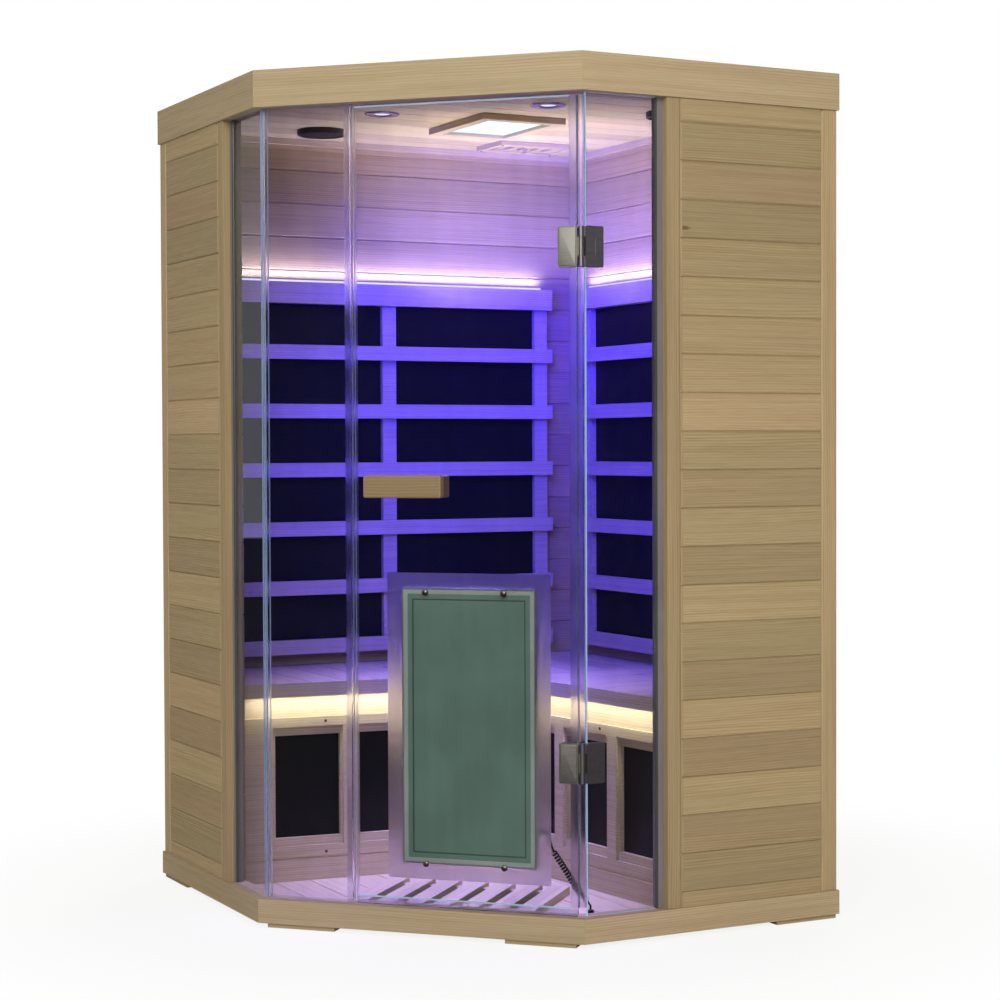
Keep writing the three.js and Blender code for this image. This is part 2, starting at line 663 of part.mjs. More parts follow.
function addFrontGlass() {
  const fixedX = DOOR_X - DOOR_SPLIT;
  const fixedLow = [EDGE_GAP - axisX, GLASS_INSET, glassZ0];
  add(front, "front_fixed_glass", box(fixedLow, [fixedX, glassBack, glassZ1]), GLASS);
  const doorLow = [DOOR_X, GLASS_INSET, skirtTop + DOOR_BASE_GAP];
  const doorHigh = [axisX - EDGE_GAP, glassBack, fasciaBase - DOOR_HEAD_GAP];
  add(front, "door_glass", box(doorLow, doorHigh), GLASS);

  // Corner seal: a chevron between the left side glass and the fixed front glass.
  const reach = EDGE_GAP - FIT;
  const half = GLASS_T / 2 + SEAL_PROUD;
  const rootHalf = Math.SQRT1_2;
  const sideEnd = (across) => [
    -axisX + rootHalf * (across - reach),
    glassMid + rootHalf * (across + reach),
  ];
  const chevron = [
    [-halfFront(glassMid - half), glassMid - half],
    [reach - axisX, glassMid - half],
    [reach - axisX, glassMid + half],
    [-halfFront(glassMid + half), glassMid + half],
    sideEnd(half),
    sideEnd(-half),
  ];
  add(front, "corner_seal", prism(chevron, glassZ0, glassZ1), CLEAR_PLASTIC);

  // Strike seal: jaws round the fixed glass's edge and a stop lip behind the door's edge.
  const web = fixedX + FIT;
  const outer = GLASS_INSET - FIT;
  const inner = glassBack + FIT;
  const strike = [
    [fixedX - STRIKE_JAW_L, outer - STRIKE_JAW_T],
    [web + STRIKE_WEB, outer - STRIKE_JAW_T],
    [web + STRIKE_WEB, inner],
    [DOOR_X + STRIKE_LAP, inner],
    [DOOR_X + STRIKE_LAP, inner + STRIKE_JAW_T],
    [fixedX - STRIKE_JAW_L, inner + STRIKE_JAW_T],
    [fixedX - STRIKE_JAW_L, inner],
    [web, inner],
    [web, outer],
    [fixedX - STRIKE_JAW_L, outer],
  ];
  add(front, "strike_seal", prism(strike, glassZ0, glassZ1), CLEAR_PLASTIC);
}

// Glass hinges: each leaf clamps its pane from both sides and reaches the axis with knuckles

function leaf(knuckles) {
  const half = GLASS_T / 2 + FIT;
  const tip = -LEAF_GAP - LEAF_W;
  const plate = (y0, y1) => roundedPlate(tip, 0, -LEAF_GAP, HINGE_H, y0, y1, LEAF_CORNER, 0);
  const web = box([FIT - EDGE_GAP, -half - 1, LEAF_CORNER], [-LEAF_GAP, half + 1, HINGE_H - LEAF_CORNER]);
  const pieces = [plate(-half - LEAF_T, -half), plate(half, half + LEAF_T), web];
  for (const [z0, z1] of knuckles) {
    const middle = (z0 + z1) / 2;
    pieces.push(cylinder(KNUCKLE_R, z1 - z0, 20).translate(0, 0, middle));
    pieces.push(box([-LEAF_GAP - 1, -GLASS_T / 2, z0], [0, GLASS_T / 2, z1]));
  }
  const bore = cylinder(PIN_R + PIN_CLEARANCE, 2 * HINGE_H, 20).translate(0, 0, HINGE_H / 2);
  return cut(join(pieces), [bore]);
}

function addHinge(place, rise) {
  const group = new THREE.Group();
  group.position.set(axisX, glassMid, FOOT_H + rise);
  front.add(group);
  const low = (HINGE_H - KNUCKLE_H) / 2;
  const high = low + KNUCKLE_H;
  add(group, `${place}_hinge_door_leaf`, leaf([[low, high]]), STEEL);
  const ends = [
    [0, low - KNUCKLE_GAP],
    [high + KNUCKLE_GAP, HINGE_H],
  ];
  const outerFace = GLASS_T / 2 + FIT + LEAF_T;
  const slotX = -LEAF_GAP - LEAF_W / 2;
  const slotZ = (HINGE_H - SLOT_H) / 2;
  const slotLow = [slotX - SLOT_W / 2, outerFace - SLOT_D, slotZ];
  const slot = box(slotLow, [slotX + SLOT_W / 2, outerFace + 1, slotZ + SLOT_H]);
  const fixed = add(group, `${place}_hinge_fixed_leaf`, cut(leaf(ends), [slot]), STEEL);
  fixed.rotation.z = -0.75 * Math.PI;
  const pin = cylinder(PIN_R, HINGE_H, 20).translate(0, 0, HINGE_H / 2);
  add(group, `${place}_hinge_pin`, pin, STEEL);
}

// Door handle and door heater

function addDoorFittings() {
  const z0 = FOOT_H + HANDLE_RISE;
  const block = (y0, y1) =>
    roundedPlate(HANDLE_X, z0, HANDLE_X + HANDLE_L, z0 + HANDLE_H, y0, y1, HANDLE_CORNER, HANDLE_EDGE);
  const outer = GLASS_INSET - FIT;
  const inner = glassBack + FIT;
  add(front, "handle_outer", block(outer - HANDLE_OUTER_T, outer), WOOD);
  add(front, "handle_inner", block(inner, inner + HANDLE_INNER_T), WOOD);

  const left = DOOR_HEATER_X;
  const right = left + DOOR_HEATER_W;
  const base = FOOT_H + DOOR_HEATER_RISE;
  const top = base + DOOR_HEATER_H;
  const back = inner + CASING_T;
  const inset = (margin, y0, y1) =>
    box([left + margin, y0, base + margin], [right - margin, y1, top - margin]);
  const boss = cylinder(BOSS_R, 2 * BOSS_L, 16).rotateY(Math.PI / 2);
  boss.translate(right, CORD_EXIT.inset, CORD_EXIT.z);
  const shell = join([inset(0, inner, back), boss]);
  const pocketBase = back - HEATER_T - FIT;
  const steps = [
    inset(CASING_BORDER, inner - 1, inner + CASING_STEP),
    inset(CASING_FIELD, inner - 1, inner + 2 * CASING_STEP),
    inset(EMITTER_MARGIN, pocketBase, back + 1),
  ];
  add(front, "door_heater_casing", cut(shell, steps), CASING);
  add(front, "door_heater_emitter", inset(EMITTER_MARGIN + FIT, pocketBase + FIT, back), CARBON);
}

// Curly cord: a straight lead from the boss, curls down to the floor and a straight end in its gland

const bossEnd = DOOR_HEATER_X + DOOR_HEATER_W + BOSS_L;
const glandTop = floorZ + FIT + GLAND_H;
const cordTop = new THREE.Vector3(bossEnd + FIT, CORD_EXIT.inset, CORD_EXIT.z);
const cordEnd = new THREE.Vector3(CORD_FOOT.x, CORD_FOOT.inset, glandTop + FIT);

// The axis that the lead and the curls follow, as chosen points.
const cordAxis = new THREE.CatmullRomCurve3(
  [
    cordTop,
    new THREE.Vector3(277, 45, 240),
    new THREE.Vector3(284.5, 47.5, 235),
    new THREE.Vector3(288.5, 51, 222),
    new THREE.Vector3(291, 55, 207),
    new THREE.Vector3(296, 61, 192),
    new THREE.Vector3(316, 83, 148),
    new THREE.Vector3(336, 104.5, 104),
    new THREE.Vector3(350, 119, 80),
    new THREE.Vector3(355.3, 124.3, 70),
    new THREE.Vector3(CORD_FOOT.x, CORD_FOOT.inset, cordEnd.z + 2 * CORD_D),
    cordEnd,
  ],
  false,
  "centripetal",
);

// Where the curls begin and end, as shares of the axis.
const CURL_FROM = 0.25;
const CURL_TO = 0.91;

function cordRoute() {
  const points = [];
  const side = new THREE.Vector3(1, -1, 0).normalize();
  const at = (share) => {
    const turn = THREE.MathUtils.clamp((share - CURL_FROM) / (CURL_TO - CURL_FROM), 0, 1);
    const ease = Math.min(1, turn * CURLS, (1 - turn) * CURLS);
    const swell = CURL_R * ease * ease * (3 - 2 * ease);
    const tangent = cordAxis.getTangentAt(share);
    const across = side.clone().addScaledVector(tangent, -side.dot(tangent)).normalize();
    const over = new THREE.Vector3().crossVectors(tangent, across);
    const angle = 2 * Math.PI * CURLS * turn;
    const point = cordAxis.getPointAt(share);
    point.addScaledVector(across, swell * Math.cos(angle));
    return point.addScaledVector(over, swell * Math.sin(angle));
  };
  for (let i = 0; i < LEAD_STEPS; i += 1) points.push(at((CURL_FROM * i) / LEAD_STEPS));
  const steps = CURLS * CURL_STEPS;
  for (let i = 0; i < steps; i += 1) points.push(at(CURL_FROM + ((CURL_TO - CURL_FROM) * i) / steps));
  const tail = LEAD_STEPS / 2;
  for (let i = 0; i <= tail; i += 1) points.push(at(CURL_TO + ((1 - CURL_TO) * i) / tail));
  return points;
}

// The least distance between turns of the cord, less its diameter.
function leastGap(points) {
  const apart = CURL_STEPS / 2;
  let least = Infinity;
  points.forEach((point, i) => {
    for (let j = i + apart; j < points.length; j += 1) least = Math.min(least, point.distanceTo(points[j]));
  });
  return least - CORD_D;
}

// Closed tube of few sides through the points, turned as little as possible from ring to ring.
function tube(points, radius, sides) {
  const vertices = [];
  const faces = [];
  const last = points.length - 1;
  let across = new THREE.Vector3(0, 0, 1);
  points.forEach((point, i) => {
    const before = points[Math.max(i - 1, 0)];
    const after = points[Math.min(i + 1, last)];
    const tangent = after.clone().sub(before).normalize();
    across = across.clone().addScaledVector(tangent, -across.dot(tangent)).normalize();
    const over = new THREE.Vector3().crossVectors(tangent, across);
    for (let s = 0; s < sides; s += 1) {
      const angle = (2 * Math.PI * s) / sides;
      const rim = point.clone().addScaledVector(across, radius * Math.cos(angle));
      rim.addScaledVector(over, radius * Math.sin(angle));
      vertices.push(...rim.toArray());
    }
  });
  for (let i = 0; i < last; i += 1) {
    for (let s = 0; s < sides; s += 1) {
      const a = i * sides + s;
      const b = i * sides + ((s + 1) % sides);
      faces.push(a, b, a + sides, b, b + sides, a + sides);
    }
  }
  for (let s = 1; s < sides - 1; s += 1) {
    faces.push(0, s + 1, s);
    faces.push(last * sides, last * sides + s, last * sides + s + 1);
  }
  const geometry = new THREE.BufferGeometry();
  geometry.setAttribute("position", new THREE.Float32BufferAttribute(vertices, 3));
  geometry.setIndex(faces);
  return geometry;
}

function addCord() {
  const route = cordRoute();
  console.log(`least gap of the curly cord to itself: ${leastGap(route).toFixed(2)} mm`);
  add(front, "heater_cord", tube(route, CORD_D / 2, CORD_SIDES), BLACK_PLASTIC);
  const base = floorZ + FIT;
  const gland = cylinder(GLAND_R, GLAND_H, 16).translate(CORD_FOOT.x, CORD_FOOT.inset, base + GLAND_H / 2);
  add(front, "cord_floor_gland", gland, BLACK_PLASTIC);
}

// Ceiling fittings

function addRounds() {
  const { flange, neck, glow, thick, height } = DOWNLIGHT;
  const downlight = [
    [0, thick],
    [glow, thick],
    [glow + thick, -thick],
    [flange - 2, -thick],
    [flange, 2 - thick],
    [flange, -FIT],
    [neck, -FIT],
    [neck, height],
    [0, height],
  ];
  const speaker = [
    [0, 3 - SPEAKER.thick],
    [SPEAKER.flange - 8, 3 - SPEAKER.thick],
    [SPEAKER.flange - 5, -SPEAKER.thick],
    [SPEAKER.flange - 1, 1 - SPEAKER.thick],
    [SPEAKER.flange, -FIT],
    [SPEAKER.basket, -FIT],
    [SPEAKER.basket - 6, SPEAKER.height],
    [0, SPEAKER.height],
  ];
  const kinds = [
    ["downlight", DOWNLIGHT, downlight, 28, CHROME],
    ["speaker", SPEAKER, speaker, 32, BLACK_PLASTIC],
  ];
  for (const [name, place, profile, segments, finish] of kinds) {
    const left = add(corner, `${name}_left`, turned(profile, segments), finish);
    left.position.set(place.far, place.near, ceilingZ);
    const right = add(corner, `${name}_right`, turned(profile, segments), finish);
    right.position.set(place.near, place.far, ceilingZ);
  }
}

function addLightPanel() {
  const group = new THREE.Group();
  group.position.set(LIGHT.along, LIGHT.across, ceilingZ);
  corner.add(group);
  const slab = (margin, z0, z1) => {
    const x = LIGHT.length / 2 - margin;
    const y = LIGHT.width / 2 - margin;
    return box([-x, -y, z0], [x, y, z1]);
  };
  const seat = LIGHT.border - LIGHT.rebate;
  const holes = [slab(LIGHT.border, -LIGHT_H - 1, 1), slab(seat, -DIFFUSER_LEDGE, 1)];
  add(group, "light_frame", cut(slab(0, -LIGHT_H, -FIT), holes), PALE_WOOD);
  const low = FIT - DIFFUSER_LEDGE;
  add(group, "light_diffuser", slab(seat + FIT, low, low + DIFFUSER_T), LED);
}

// Roof vent: a slotted plate with side lips that carry a slotted shutter with a knob
function addVent() {
  const group = new THREE.Group();
  group.position.set(VENT.along, VENT.across, ceilingZ);
  corner.add(group);
  const x = VENT.length / 2;
  const y = VENT.width / 2;
  const cavityX = x - VENT.border;
  const cavityY = y - VENT.border;
  const lipTop = VENT_LIP_T - VENT_H;
  const cavityTop = lipTop + SHUTTER_T + 2 * FIT;
  const mouthY = cavityY - VENT.lip;
  const slots = (z0, z1) => {
    const cuts = [];
    for (let i = 0; i < VENT_SLOTS; i += 1) {
      const middle = (i - (VENT_SLOTS - 1) / 2) * 2 * VENT_SLOT_W;
      const half = VENT_SLOT_W / 2;
      cuts.push(box([middle - half, -VENT_SLOT_L / 2, z0], [middle + half, VENT_SLOT_L / 2, z1]));
    }
    return cuts;
  };
  const body = box([-x, -y, -VENT_H], [x, y, -FIT]);
  const cavity = box([-cavityX, -cavityY, lipTop], [cavityX, cavityY, cavityTop]);
  const mouth = box([-cavityX, -mouthY, -VENT_H - 1], [cavityX, mouthY, lipTop + 1]);
  add(group, "vent_frame", cut(body, [cavity, mouth, ...slots(cavityTop - 1, 1)]), PALE_WOOD);

  const low = lipTop + FIT;
  const shutterEnd = cavityX - FIT - VENT_SLOT_W;
  const sideY = cavityY - FIT;
  const plate = box([FIT - cavityX, -sideY, low], [shutterEnd, sideY, low + SHUTTER_T]);
  const slotted = cut(plate, slots(low - 1, low + SHUTTER_T + 1));
  const knobLow = [-KNOB.length / 2, -KNOB.width / 2, low - KNOB.height];
  const knob = box(knobLow, [KNOB.length / 2, KNOB.width / 2, low + SHUTTER_T / 2]);
  add(group, "vent_shutter", join([slotted, knob]), WOOD);
}

function addControlPanel() {
  const base = FOOT_H + PANEL.rise;
  const face = SIDE - clearIn - PANEL.thick;
  const low = [PANEL.along, face, base];
  const high = [PANEL.along + PANEL.length, SIDE - clearIn, base + PANEL.height];
  add(corner, "control_panel", box(low, high), BLACK_PLASTIC);
}

addBase();
addFloor();
addWalls();
addRoof();
addGuard("left", GUARD_CORNER_LEFT, false);
addGuard("right", GUARD_CORNER_RIGHT, true);
addSeats();
addBenchFront("left", false);
addBenchFront("right", true);
addSideGlass("left", false);
addSideGlass("right", true);
addFrontGlass();
for (const [place, rise] of Object.entries(HINGE_RISES)) addHinge(place, rise);
addDoorFittings();
addCord();
addRounds();
addLightPanel();
addVent();
addControlPanel();

export default cabin;
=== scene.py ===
"""Dresses a corner infrared sauna cabin: timber, glass, heaters, fittings, lights and a curly cord."""

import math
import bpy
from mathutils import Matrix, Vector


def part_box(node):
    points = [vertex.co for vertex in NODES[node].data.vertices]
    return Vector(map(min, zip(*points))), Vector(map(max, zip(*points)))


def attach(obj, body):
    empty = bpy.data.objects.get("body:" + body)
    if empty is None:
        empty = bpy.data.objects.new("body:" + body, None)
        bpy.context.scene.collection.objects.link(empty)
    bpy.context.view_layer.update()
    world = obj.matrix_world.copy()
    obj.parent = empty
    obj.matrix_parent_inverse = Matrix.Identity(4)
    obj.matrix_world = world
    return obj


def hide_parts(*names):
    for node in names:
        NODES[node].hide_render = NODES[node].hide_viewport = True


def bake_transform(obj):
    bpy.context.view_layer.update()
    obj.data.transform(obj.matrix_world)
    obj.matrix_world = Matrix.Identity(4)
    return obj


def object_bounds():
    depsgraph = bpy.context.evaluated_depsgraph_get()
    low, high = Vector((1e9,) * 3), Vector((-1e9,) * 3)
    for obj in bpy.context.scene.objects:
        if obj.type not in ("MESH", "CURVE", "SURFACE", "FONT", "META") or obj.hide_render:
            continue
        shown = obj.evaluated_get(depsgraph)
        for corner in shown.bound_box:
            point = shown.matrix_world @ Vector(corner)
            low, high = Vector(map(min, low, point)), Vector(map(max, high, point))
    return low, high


bl_info = {
    "name": "Corner Sauna Cabin",
    "version": (1, 0, 0),
    "blender": (4, 5, 0),
    "location": "3D View > Sidebar > Cabin",
    "description": "Finishes, small fittings and studio for a corner infrared sauna cabin",
    "category": "Object",
}

from functools import partialmethod

import bpy
import numpy as np
from mathutils import Matrix, Vector

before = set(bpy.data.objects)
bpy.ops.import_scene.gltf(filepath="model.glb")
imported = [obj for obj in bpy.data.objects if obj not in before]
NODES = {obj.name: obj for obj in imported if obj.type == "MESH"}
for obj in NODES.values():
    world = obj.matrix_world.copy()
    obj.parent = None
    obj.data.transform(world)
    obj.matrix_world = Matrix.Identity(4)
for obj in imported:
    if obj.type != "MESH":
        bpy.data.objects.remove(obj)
CAD_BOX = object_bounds()
ROOT2 = math.sqrt(2)
MM = 0.001
HALF_DEPTH = float(CAD_BOX[1][1])
FRONT_Y = float(CAD_BOX[0][1])  # face of the front skirting
BACK_WALL = float(CAD_BOX[1][0]) * ROOT2  # length of each back wall
MIDDLE = HALF_DEPTH / ROOT2  # the origin, from the back corner along either back wall
WALL_T = 51 * MM  # thickness of a wall
WALL_SETBACK = 5 * MM  # a wall's outer face behind the skirting's face
BOSS_L = 8 * MM  # boss on the door heater's casing, where the cord leaves it
ALONG_A = Vector((-1 / ROOT2, -1 / ROOT2, 0))  # from the back corner along the left back wall
ALONG_B = Vector((1 / ROOT2, -1 / ROOT2, 0))  # from the back corner along the right back wall
OUTWARDS = (0, -1, 0)  # out of the cabin through the door
UP = (0, 0, 1)
DOWN = (0, 0, -1)
X, Z = 0, 2  # axes that a flat profile is carried along


# Settings that a user would change


def colour(name, description, default):
    return bpy.props.FloatVectorProperty(
        name=name, description=description, default=default, subtype="COLOR", min=0, max=1
    )


def length(name, description, default):
    return bpy.props.FloatProperty(
        name=name, description=description, default=default, subtype="DISTANCE", unit="LENGTH", min=0
    )


def amount(name, description, default, subtype="NONE", least=0.0):
    return bpy.props.FloatProperty(
        name=name, description=description, default=default, subtype=subtype, min=least
    )


def turn(name, description, degrees):
    return amount(name, description, math.radians(degrees), "ANGLE", -math.pi)


class CabinTimber(bpy.types.PropertyGroup):
    """Colours of the boards and the sizes of their joints."""

    outer_light: colour("Outer light", "Early wood of the outside boards", (0.455, 0.335, 0.185))
    outer_dark: colour("Outer dark", "Late wood of the outside boards", (0.31, 0.2, 0.095))
    rail_light: colour("Rail light", "Early wood of the skirting and the fascia", (0.52, 0.395, 0.24))
    rail_dark: colour("Rail dark", "Late wood of the skirting and the fascia", (0.37, 0.255, 0.135))
    inner_light: colour("Inner light", "Early wood of the boards inside", (0.6, 0.49, 0.35))
    inner_dark: colour("Inner dark", "Late wood of the boards inside", (0.43, 0.32, 0.2))
    handle_light: colour("Handle light", "Early wood of the handle", (0.31, 0.215, 0.115))
    handle_dark: colour("Handle dark", "Late wood of the handle", (0.22, 0.135, 0.065))
    knot: colour("Knot", "Small knots and resin streaks", (0.12, 0.06, 0.025))
    board_pitch: length("Board pitch", "From one board joint to the next", 84 * MM)
    top_joint: length("Top joint", "Highest joint of the wall boards above the ground", 1.777)
    wall_thickness: length("Wall", "Inner wall face behind the skirting's face", WALL_T + WALL_SETBACK)
    front_stile: length("Front stile", "Upright board at a side wall's free end", 35 * MM)
    back_stile: length("Back stile", "Upright board at a wall's back end", 40 * MM)


class CabinGlazing(bpy.types.PropertyGroup):
    """Glass, its film and its seals."""

    tint: colour("Tint", "Colour of the glass, looking through it", (0.93, 0.98, 0.96))
    # edge also colours the painted glow, an emission, on the polished edges
    edge: colour("Edge", "Colour of the polished edges", (0.36, 0.52, 0.66))
    shade: colour("Shade", "Light that each face of the glass lets in", (0.5, 0.5, 0.51))
    seal: colour("Seal", "Clear flexible seals", (0.92, 0.92, 0.98))
    film: colour("Film", "Frosted film round the door heater", (0.93, 0.9, 0.95))
    film_margin: length("Film margin", "Film round the door heater", 34 * MM)
    jaw: length("Jaw", "Reach of a seal over the glass", 15.5 * MM)
    jaw_thickness: length("Jaw thickness", "Wall of a seal", 1.1 * MM)


class CabinFittings(bpy.types.PropertyGroup):
    """Heaters, hinges, fasteners and ceiling fittings."""

    carbon: colour("Carbon", "Black heating panels", (0.007, 0.007, 0.008))
    casing: colour("Casing", "Field of the door heater's back", (0.36, 0.58, 0.47))
    casing_border: colour("Casing border", "Frame of the door heater's back", (0.93, 1.0, 0.96))
    # painted shade: the dark line where the casing's back steps in
    casing_step_shade: colour("Casing line", "Pressed line in the door heater's back", (0.08, 0.14, 0.11))
    steel: colour("Steel", "Brushed hinge plates", (0.29, 0.285, 0.255))
    dark_steel: colour("Dark steel", "Fixed leaves of the hinges", (0.3, 0.28, 0.32))
    aluminium: colour("Aluminium", "Anodised glass channels", (0.2, 0.19, 0.19))
    bronze: colour("Bronze", "Cap bolts of the door heater", (0.2, 0.18, 0.165))
    chrome: colour("Chrome", "Rims of the downlights", (0.62, 0.62, 0.66))
    black: colour("Black", "Moulded parts", (0.014, 0.014, 0.016))
    screw: colour("Dark screw", "Screws of the bench and the vent", (0.06, 0.055, 0.05))
    # near white: bright zinc with a painted glint on the screw heads
    glinting_zinc: colour("Zinc", "Screws of the door heater", (0.9, 0.92, 0.9))
    gasket: colour("Gasket", "Beads beside the side glass", (0.06, 0.055, 0.06))
    screw_radius: length("Screw", "Radius of a bench screw's head", 3.2 * MM)
    cap_radius: length("Cap", "Radius of a cap bolt", 7 * MM)


class CabinLamps(bpy.types.PropertyGroup):
    """The cabin's own lights."""

    violet: colour("Violet", "Coloured light of the cabin", (0.015, 0.0, 1.0))
    lilac: colour("Lilac", "Light that falls on the floor", (0.3, 0.225, 1.0))
    cool: colour("Cool", "Strips above the guards", (0.66, 0.6, 1.0))
    warm: colour("Warm", "Strip under the bench", (1.0, 0.93, 0.86))
    room: colour("Room", "Soft light on the ceiling", (1.0, 0.86, 0.72))
    panel: colour("Panel", "Lit ceiling panel", (0.74, 0.92, 1.0))
    lens: colour("Lens", "Lenses of the downlights", (0.8, 0.76, 1.0))
    key: colour("Key", "Touch keys of the control panel", (0.35, 0.75, 1.0))
    display: colour("Display", "Display of the control panel", (0.05, 0.22, 0.4))
    violet_power: amount("Violet power", "Watts of the coloured light", 18.0)
    cove_power: amount("Cove power", "Watts of each strip above a guard", 1.8)
    bench_power: amount("Bench power", "Watts of each leg of the bench strip", 0.9)
    room_power: amount("Room power", "Watts of the soft light on the ceiling", 3.4)


class CabinCord(bpy.types.PropertyGroup):
    """The curly cord of the door heater."""

    sheath: colour("Sheath", "Rubber of the cord and its gland", (0.004, 0.004, 0.005))
    diameter: length("Diameter", "Diameter of the cord", 4.2 * MM)
    curl_radius: length("Curl radius", "Middle of the cord from the axis of the curls", 5.3 * MM)
    curls: bpy.props.IntProperty(name="Curls", description="Number of curls", default=19, min=1, max=100)
    curl_from: amount("From", "Where the curls begin on the route", 0.25, "FACTOR")
    curl_to: amount("To", "Where the curls end on the route", 0.91, "FACTOR")


class CabinStage(bpy.types.PropertyGroup):
    """Camera, floor and studio light."""

    lens: amount("Lens", "Focal length in millimetres on a 36 mm sensor", 78.71, "DISTANCE_CAMERA")
    place: bpy.props.FloatVectorProperty(
        name="Camera", description="Camera's place", default=(1.6233, -5.1312, 1.0686), subtype="TRANSLATION"
    )
    yaw: turn("Yaw", "Turn to the left", 17.738)
    pitch: turn("Pitch", "Tilt up", -1.341)
    roll: turn("Roll", "Roll", -0.208)
    key_power: amount("Key", "Watts of the large soft light in front", 250.0)
    side_power: amount("Side", "Watts of the soft light on the left", 12.0)
    back_power: amount("Back", "Watts of the soft light behind the cabin", 190.0)
    ambient: amount("Ambient", "Strength of the even light all round", 0.36)
    mirrored: amount("Mirrored", "Strength of the studio as glass and metal mirror it ahead", 0.02)
    floor_size: length("Floor", "Side of the floor", 40.0)
    floor_glow: amount("Floor glow", "Share of plain white in the floor near the cabin", 0.86, "FACTOR")


def settings(name):
    return getattr(bpy.context.scene, f"cabin_{name}")


# Meshes from arrays


def grid_object(name, points, closed_rows=False, closed_columns=True, caps=True, smooth=35):
    """A surface through a grid of points [rows, columns, 3]. Columns run counter-clockwise about the rows'
    direction, so that faces point out, and caps closes the first and the last row with one face each."""
    rows, columns = points.shape[:2]
    row = np.arange(rows if closed_rows else rows - 1)[:, None]
    column = np.arange(columns if closed_columns else columns - 1)[None, :]
    after = (column + 1) % columns
    low = row * columns
    high = (row + 1) % rows * columns
    quads = np.stack([low + column, low + after, high + after, high + column], axis=-1).reshape(-1, 4)
    faces = quads.tolist()
    if caps and not closed_rows:
        faces.append(list(range(columns))[::-1])
        faces.append(list(range((rows - 1) * columns, rows * columns)))
    mesh = bpy.data.meshes.new(name)
    mesh.from_pydata(points.reshape(-1, 3).tolist(), [], faces)
    mesh.shade_smooth()
    mesh.set_sharp_from_angle(angle=math.radians(smooth))
    piece = bpy.data.objects.new(name, mesh)
    bpy.context.scene.collection.objects.link(piece)
    return piece


def unit_circle(segments):
    """Points (cos t, sin t) at even steps of t."""
    angle = np.linspace(0, 2 * np.pi, segments, endpoint=False)
    return np.stack([np.cos(angle), np.sin(angle)], axis=-1)


def lifted(outlines, levels):
    """Flat outlines [rings, points, 2], each at its own level."""
    height = np.broadcast_to(np.asarray(levels, float)[:, None, None], (*outlines.shape[:2], 1))
    return np.concatenate([outlines, height], axis=-1)


def placed(points, centre, axis):
    """Points round zero, turned so that +Z looks along the axis and moved to the centre."""
    facing = np.array(Vector(axis).to_track_quat("Z", "Y").to_matrix())
    return points @ facing.T + np.asarray(centre, float)


def revolved(name, profile, centre, axis, segments=48):
    """Surface of revolution: radius r(s) and height h(s) of the profile, turned once round the axis."""
    profile = np.asarray(profile, float)
    rings = lifted(profile[:, 0, None, None] * unit_circle(segments), profile[:, 1])
    return grid_object(name, placed(rings, centre, axis))


def domed(radius, foot, base, rise, reach):
    """Profile of a cap: a rim from foot to base, then an ellipse (r cos t, rise sin t) to t = reach pi."""
    angle = np.linspace(0, reach * np.pi, 8)
    return [(radius, foot), *np.stack([radius * np.cos(angle), base + rise * np.sin(angle)], axis=-1)]


def prism(name, profile, axis, start, stretch):
    """A flat profile carried straight along the axis X or Z. It gives the next two coordinates."""
    profile = np.asarray(profile, float)
    points = np.empty((2, len(profile), 3))
    points[:, :, axis] = [[start], [start + stretch]]
    points[:, :, (axis + 1) % 3] = profile[:, 0]
    points[:, :, (axis + 2) % 3] = profile[:, 1]
    return grid_object(name, points, smooth=20)


def rounded_outline(width, height, radius, steps=7):
    """Counter-clockwise rectangle round zero whose corners are quarter circles."""
    angle = np.linspace(0, np.pi / 2, steps)[None, :] + np.arange(4)[:, None] * np.pi / 2
    signs = np.array([[1, 1], [-1, 1], [-1, -1], [1, -1]])
    middles = signs * np.array([width / 2 - radius, height / 2 - radius])
    arcs = middles[:, None] + radius * np.stack([np.cos(angle), np.sin(angle)], axis=-1)
    return arcs.reshape(-1, 2)


def plate(name, centre, axis, width, height, radius, thickness, edge):
    """Plate with round corners: the outline at rising heights, drawn in by 1 - cos at the softened edge."""
    angle = np.linspace(0, np.pi / 2, 5)
    rise = np.concatenate([[0.0], thickness - edge + edge * np.sin(angle)])
    inset = np.concatenate([[0.0], edge * (1 - np.cos(angle))])
    scale = 1 - 2 * inset[:, None, None] / np.array([width, height])
    rings = lifted(rounded_outline(width, height, radius) * scale, rise)
    return grid_object(name, placed(rings, centre, axis))


def hollow(name, outer, inner, low, high, centre, axis):
    """A flat or long ring: an outline carried from low to high outside and back from high to low inside."""
    rings = lifted(np.stack([outer, outer, inner, inner]), [low, high, high, low])
    return grid_object(name, placed(rings, centre, axis), closed_rows=True)


def finish_piece(piece, body, material):
    piece.data.materials.append(material)
    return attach(piece, body)


def dress(names, material):
    """Gives CAD nodes their material."""
    for name in names:
        NODES[name].data.materials.clear()
        NODES[name].data.materials.append(material)


# Places


def corner_point(a, b, z):
    """A point from its distances along the left and the right back wall, counted from the back corner."""
    return Vector(((b - a) / ROOT2, HALF_DEPTH - (a + b) / ROOT2, z))


def side_point(side, a, b, z):
    """A point of the cabin's left half, or the one that mirrors it on the right."""
    return corner_point(a, b, z) if side == "left" else corner_point(b, a, z)


def wall_end():
    """The side walls' free ends, from the back of the plan."""
    low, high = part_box("right_wall")
    return (high.x - low.x - WALL_T / ROOT2) * ROOT2 + WALL_SETBACK


def casing_box():
    """The door heater's casing without its boss."""
    low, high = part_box("door_heater_casing")
    return low, high - Vector((BOSS_L, 0, 0))


# Node building


def rgba(value):
    return (*value, 1.0)


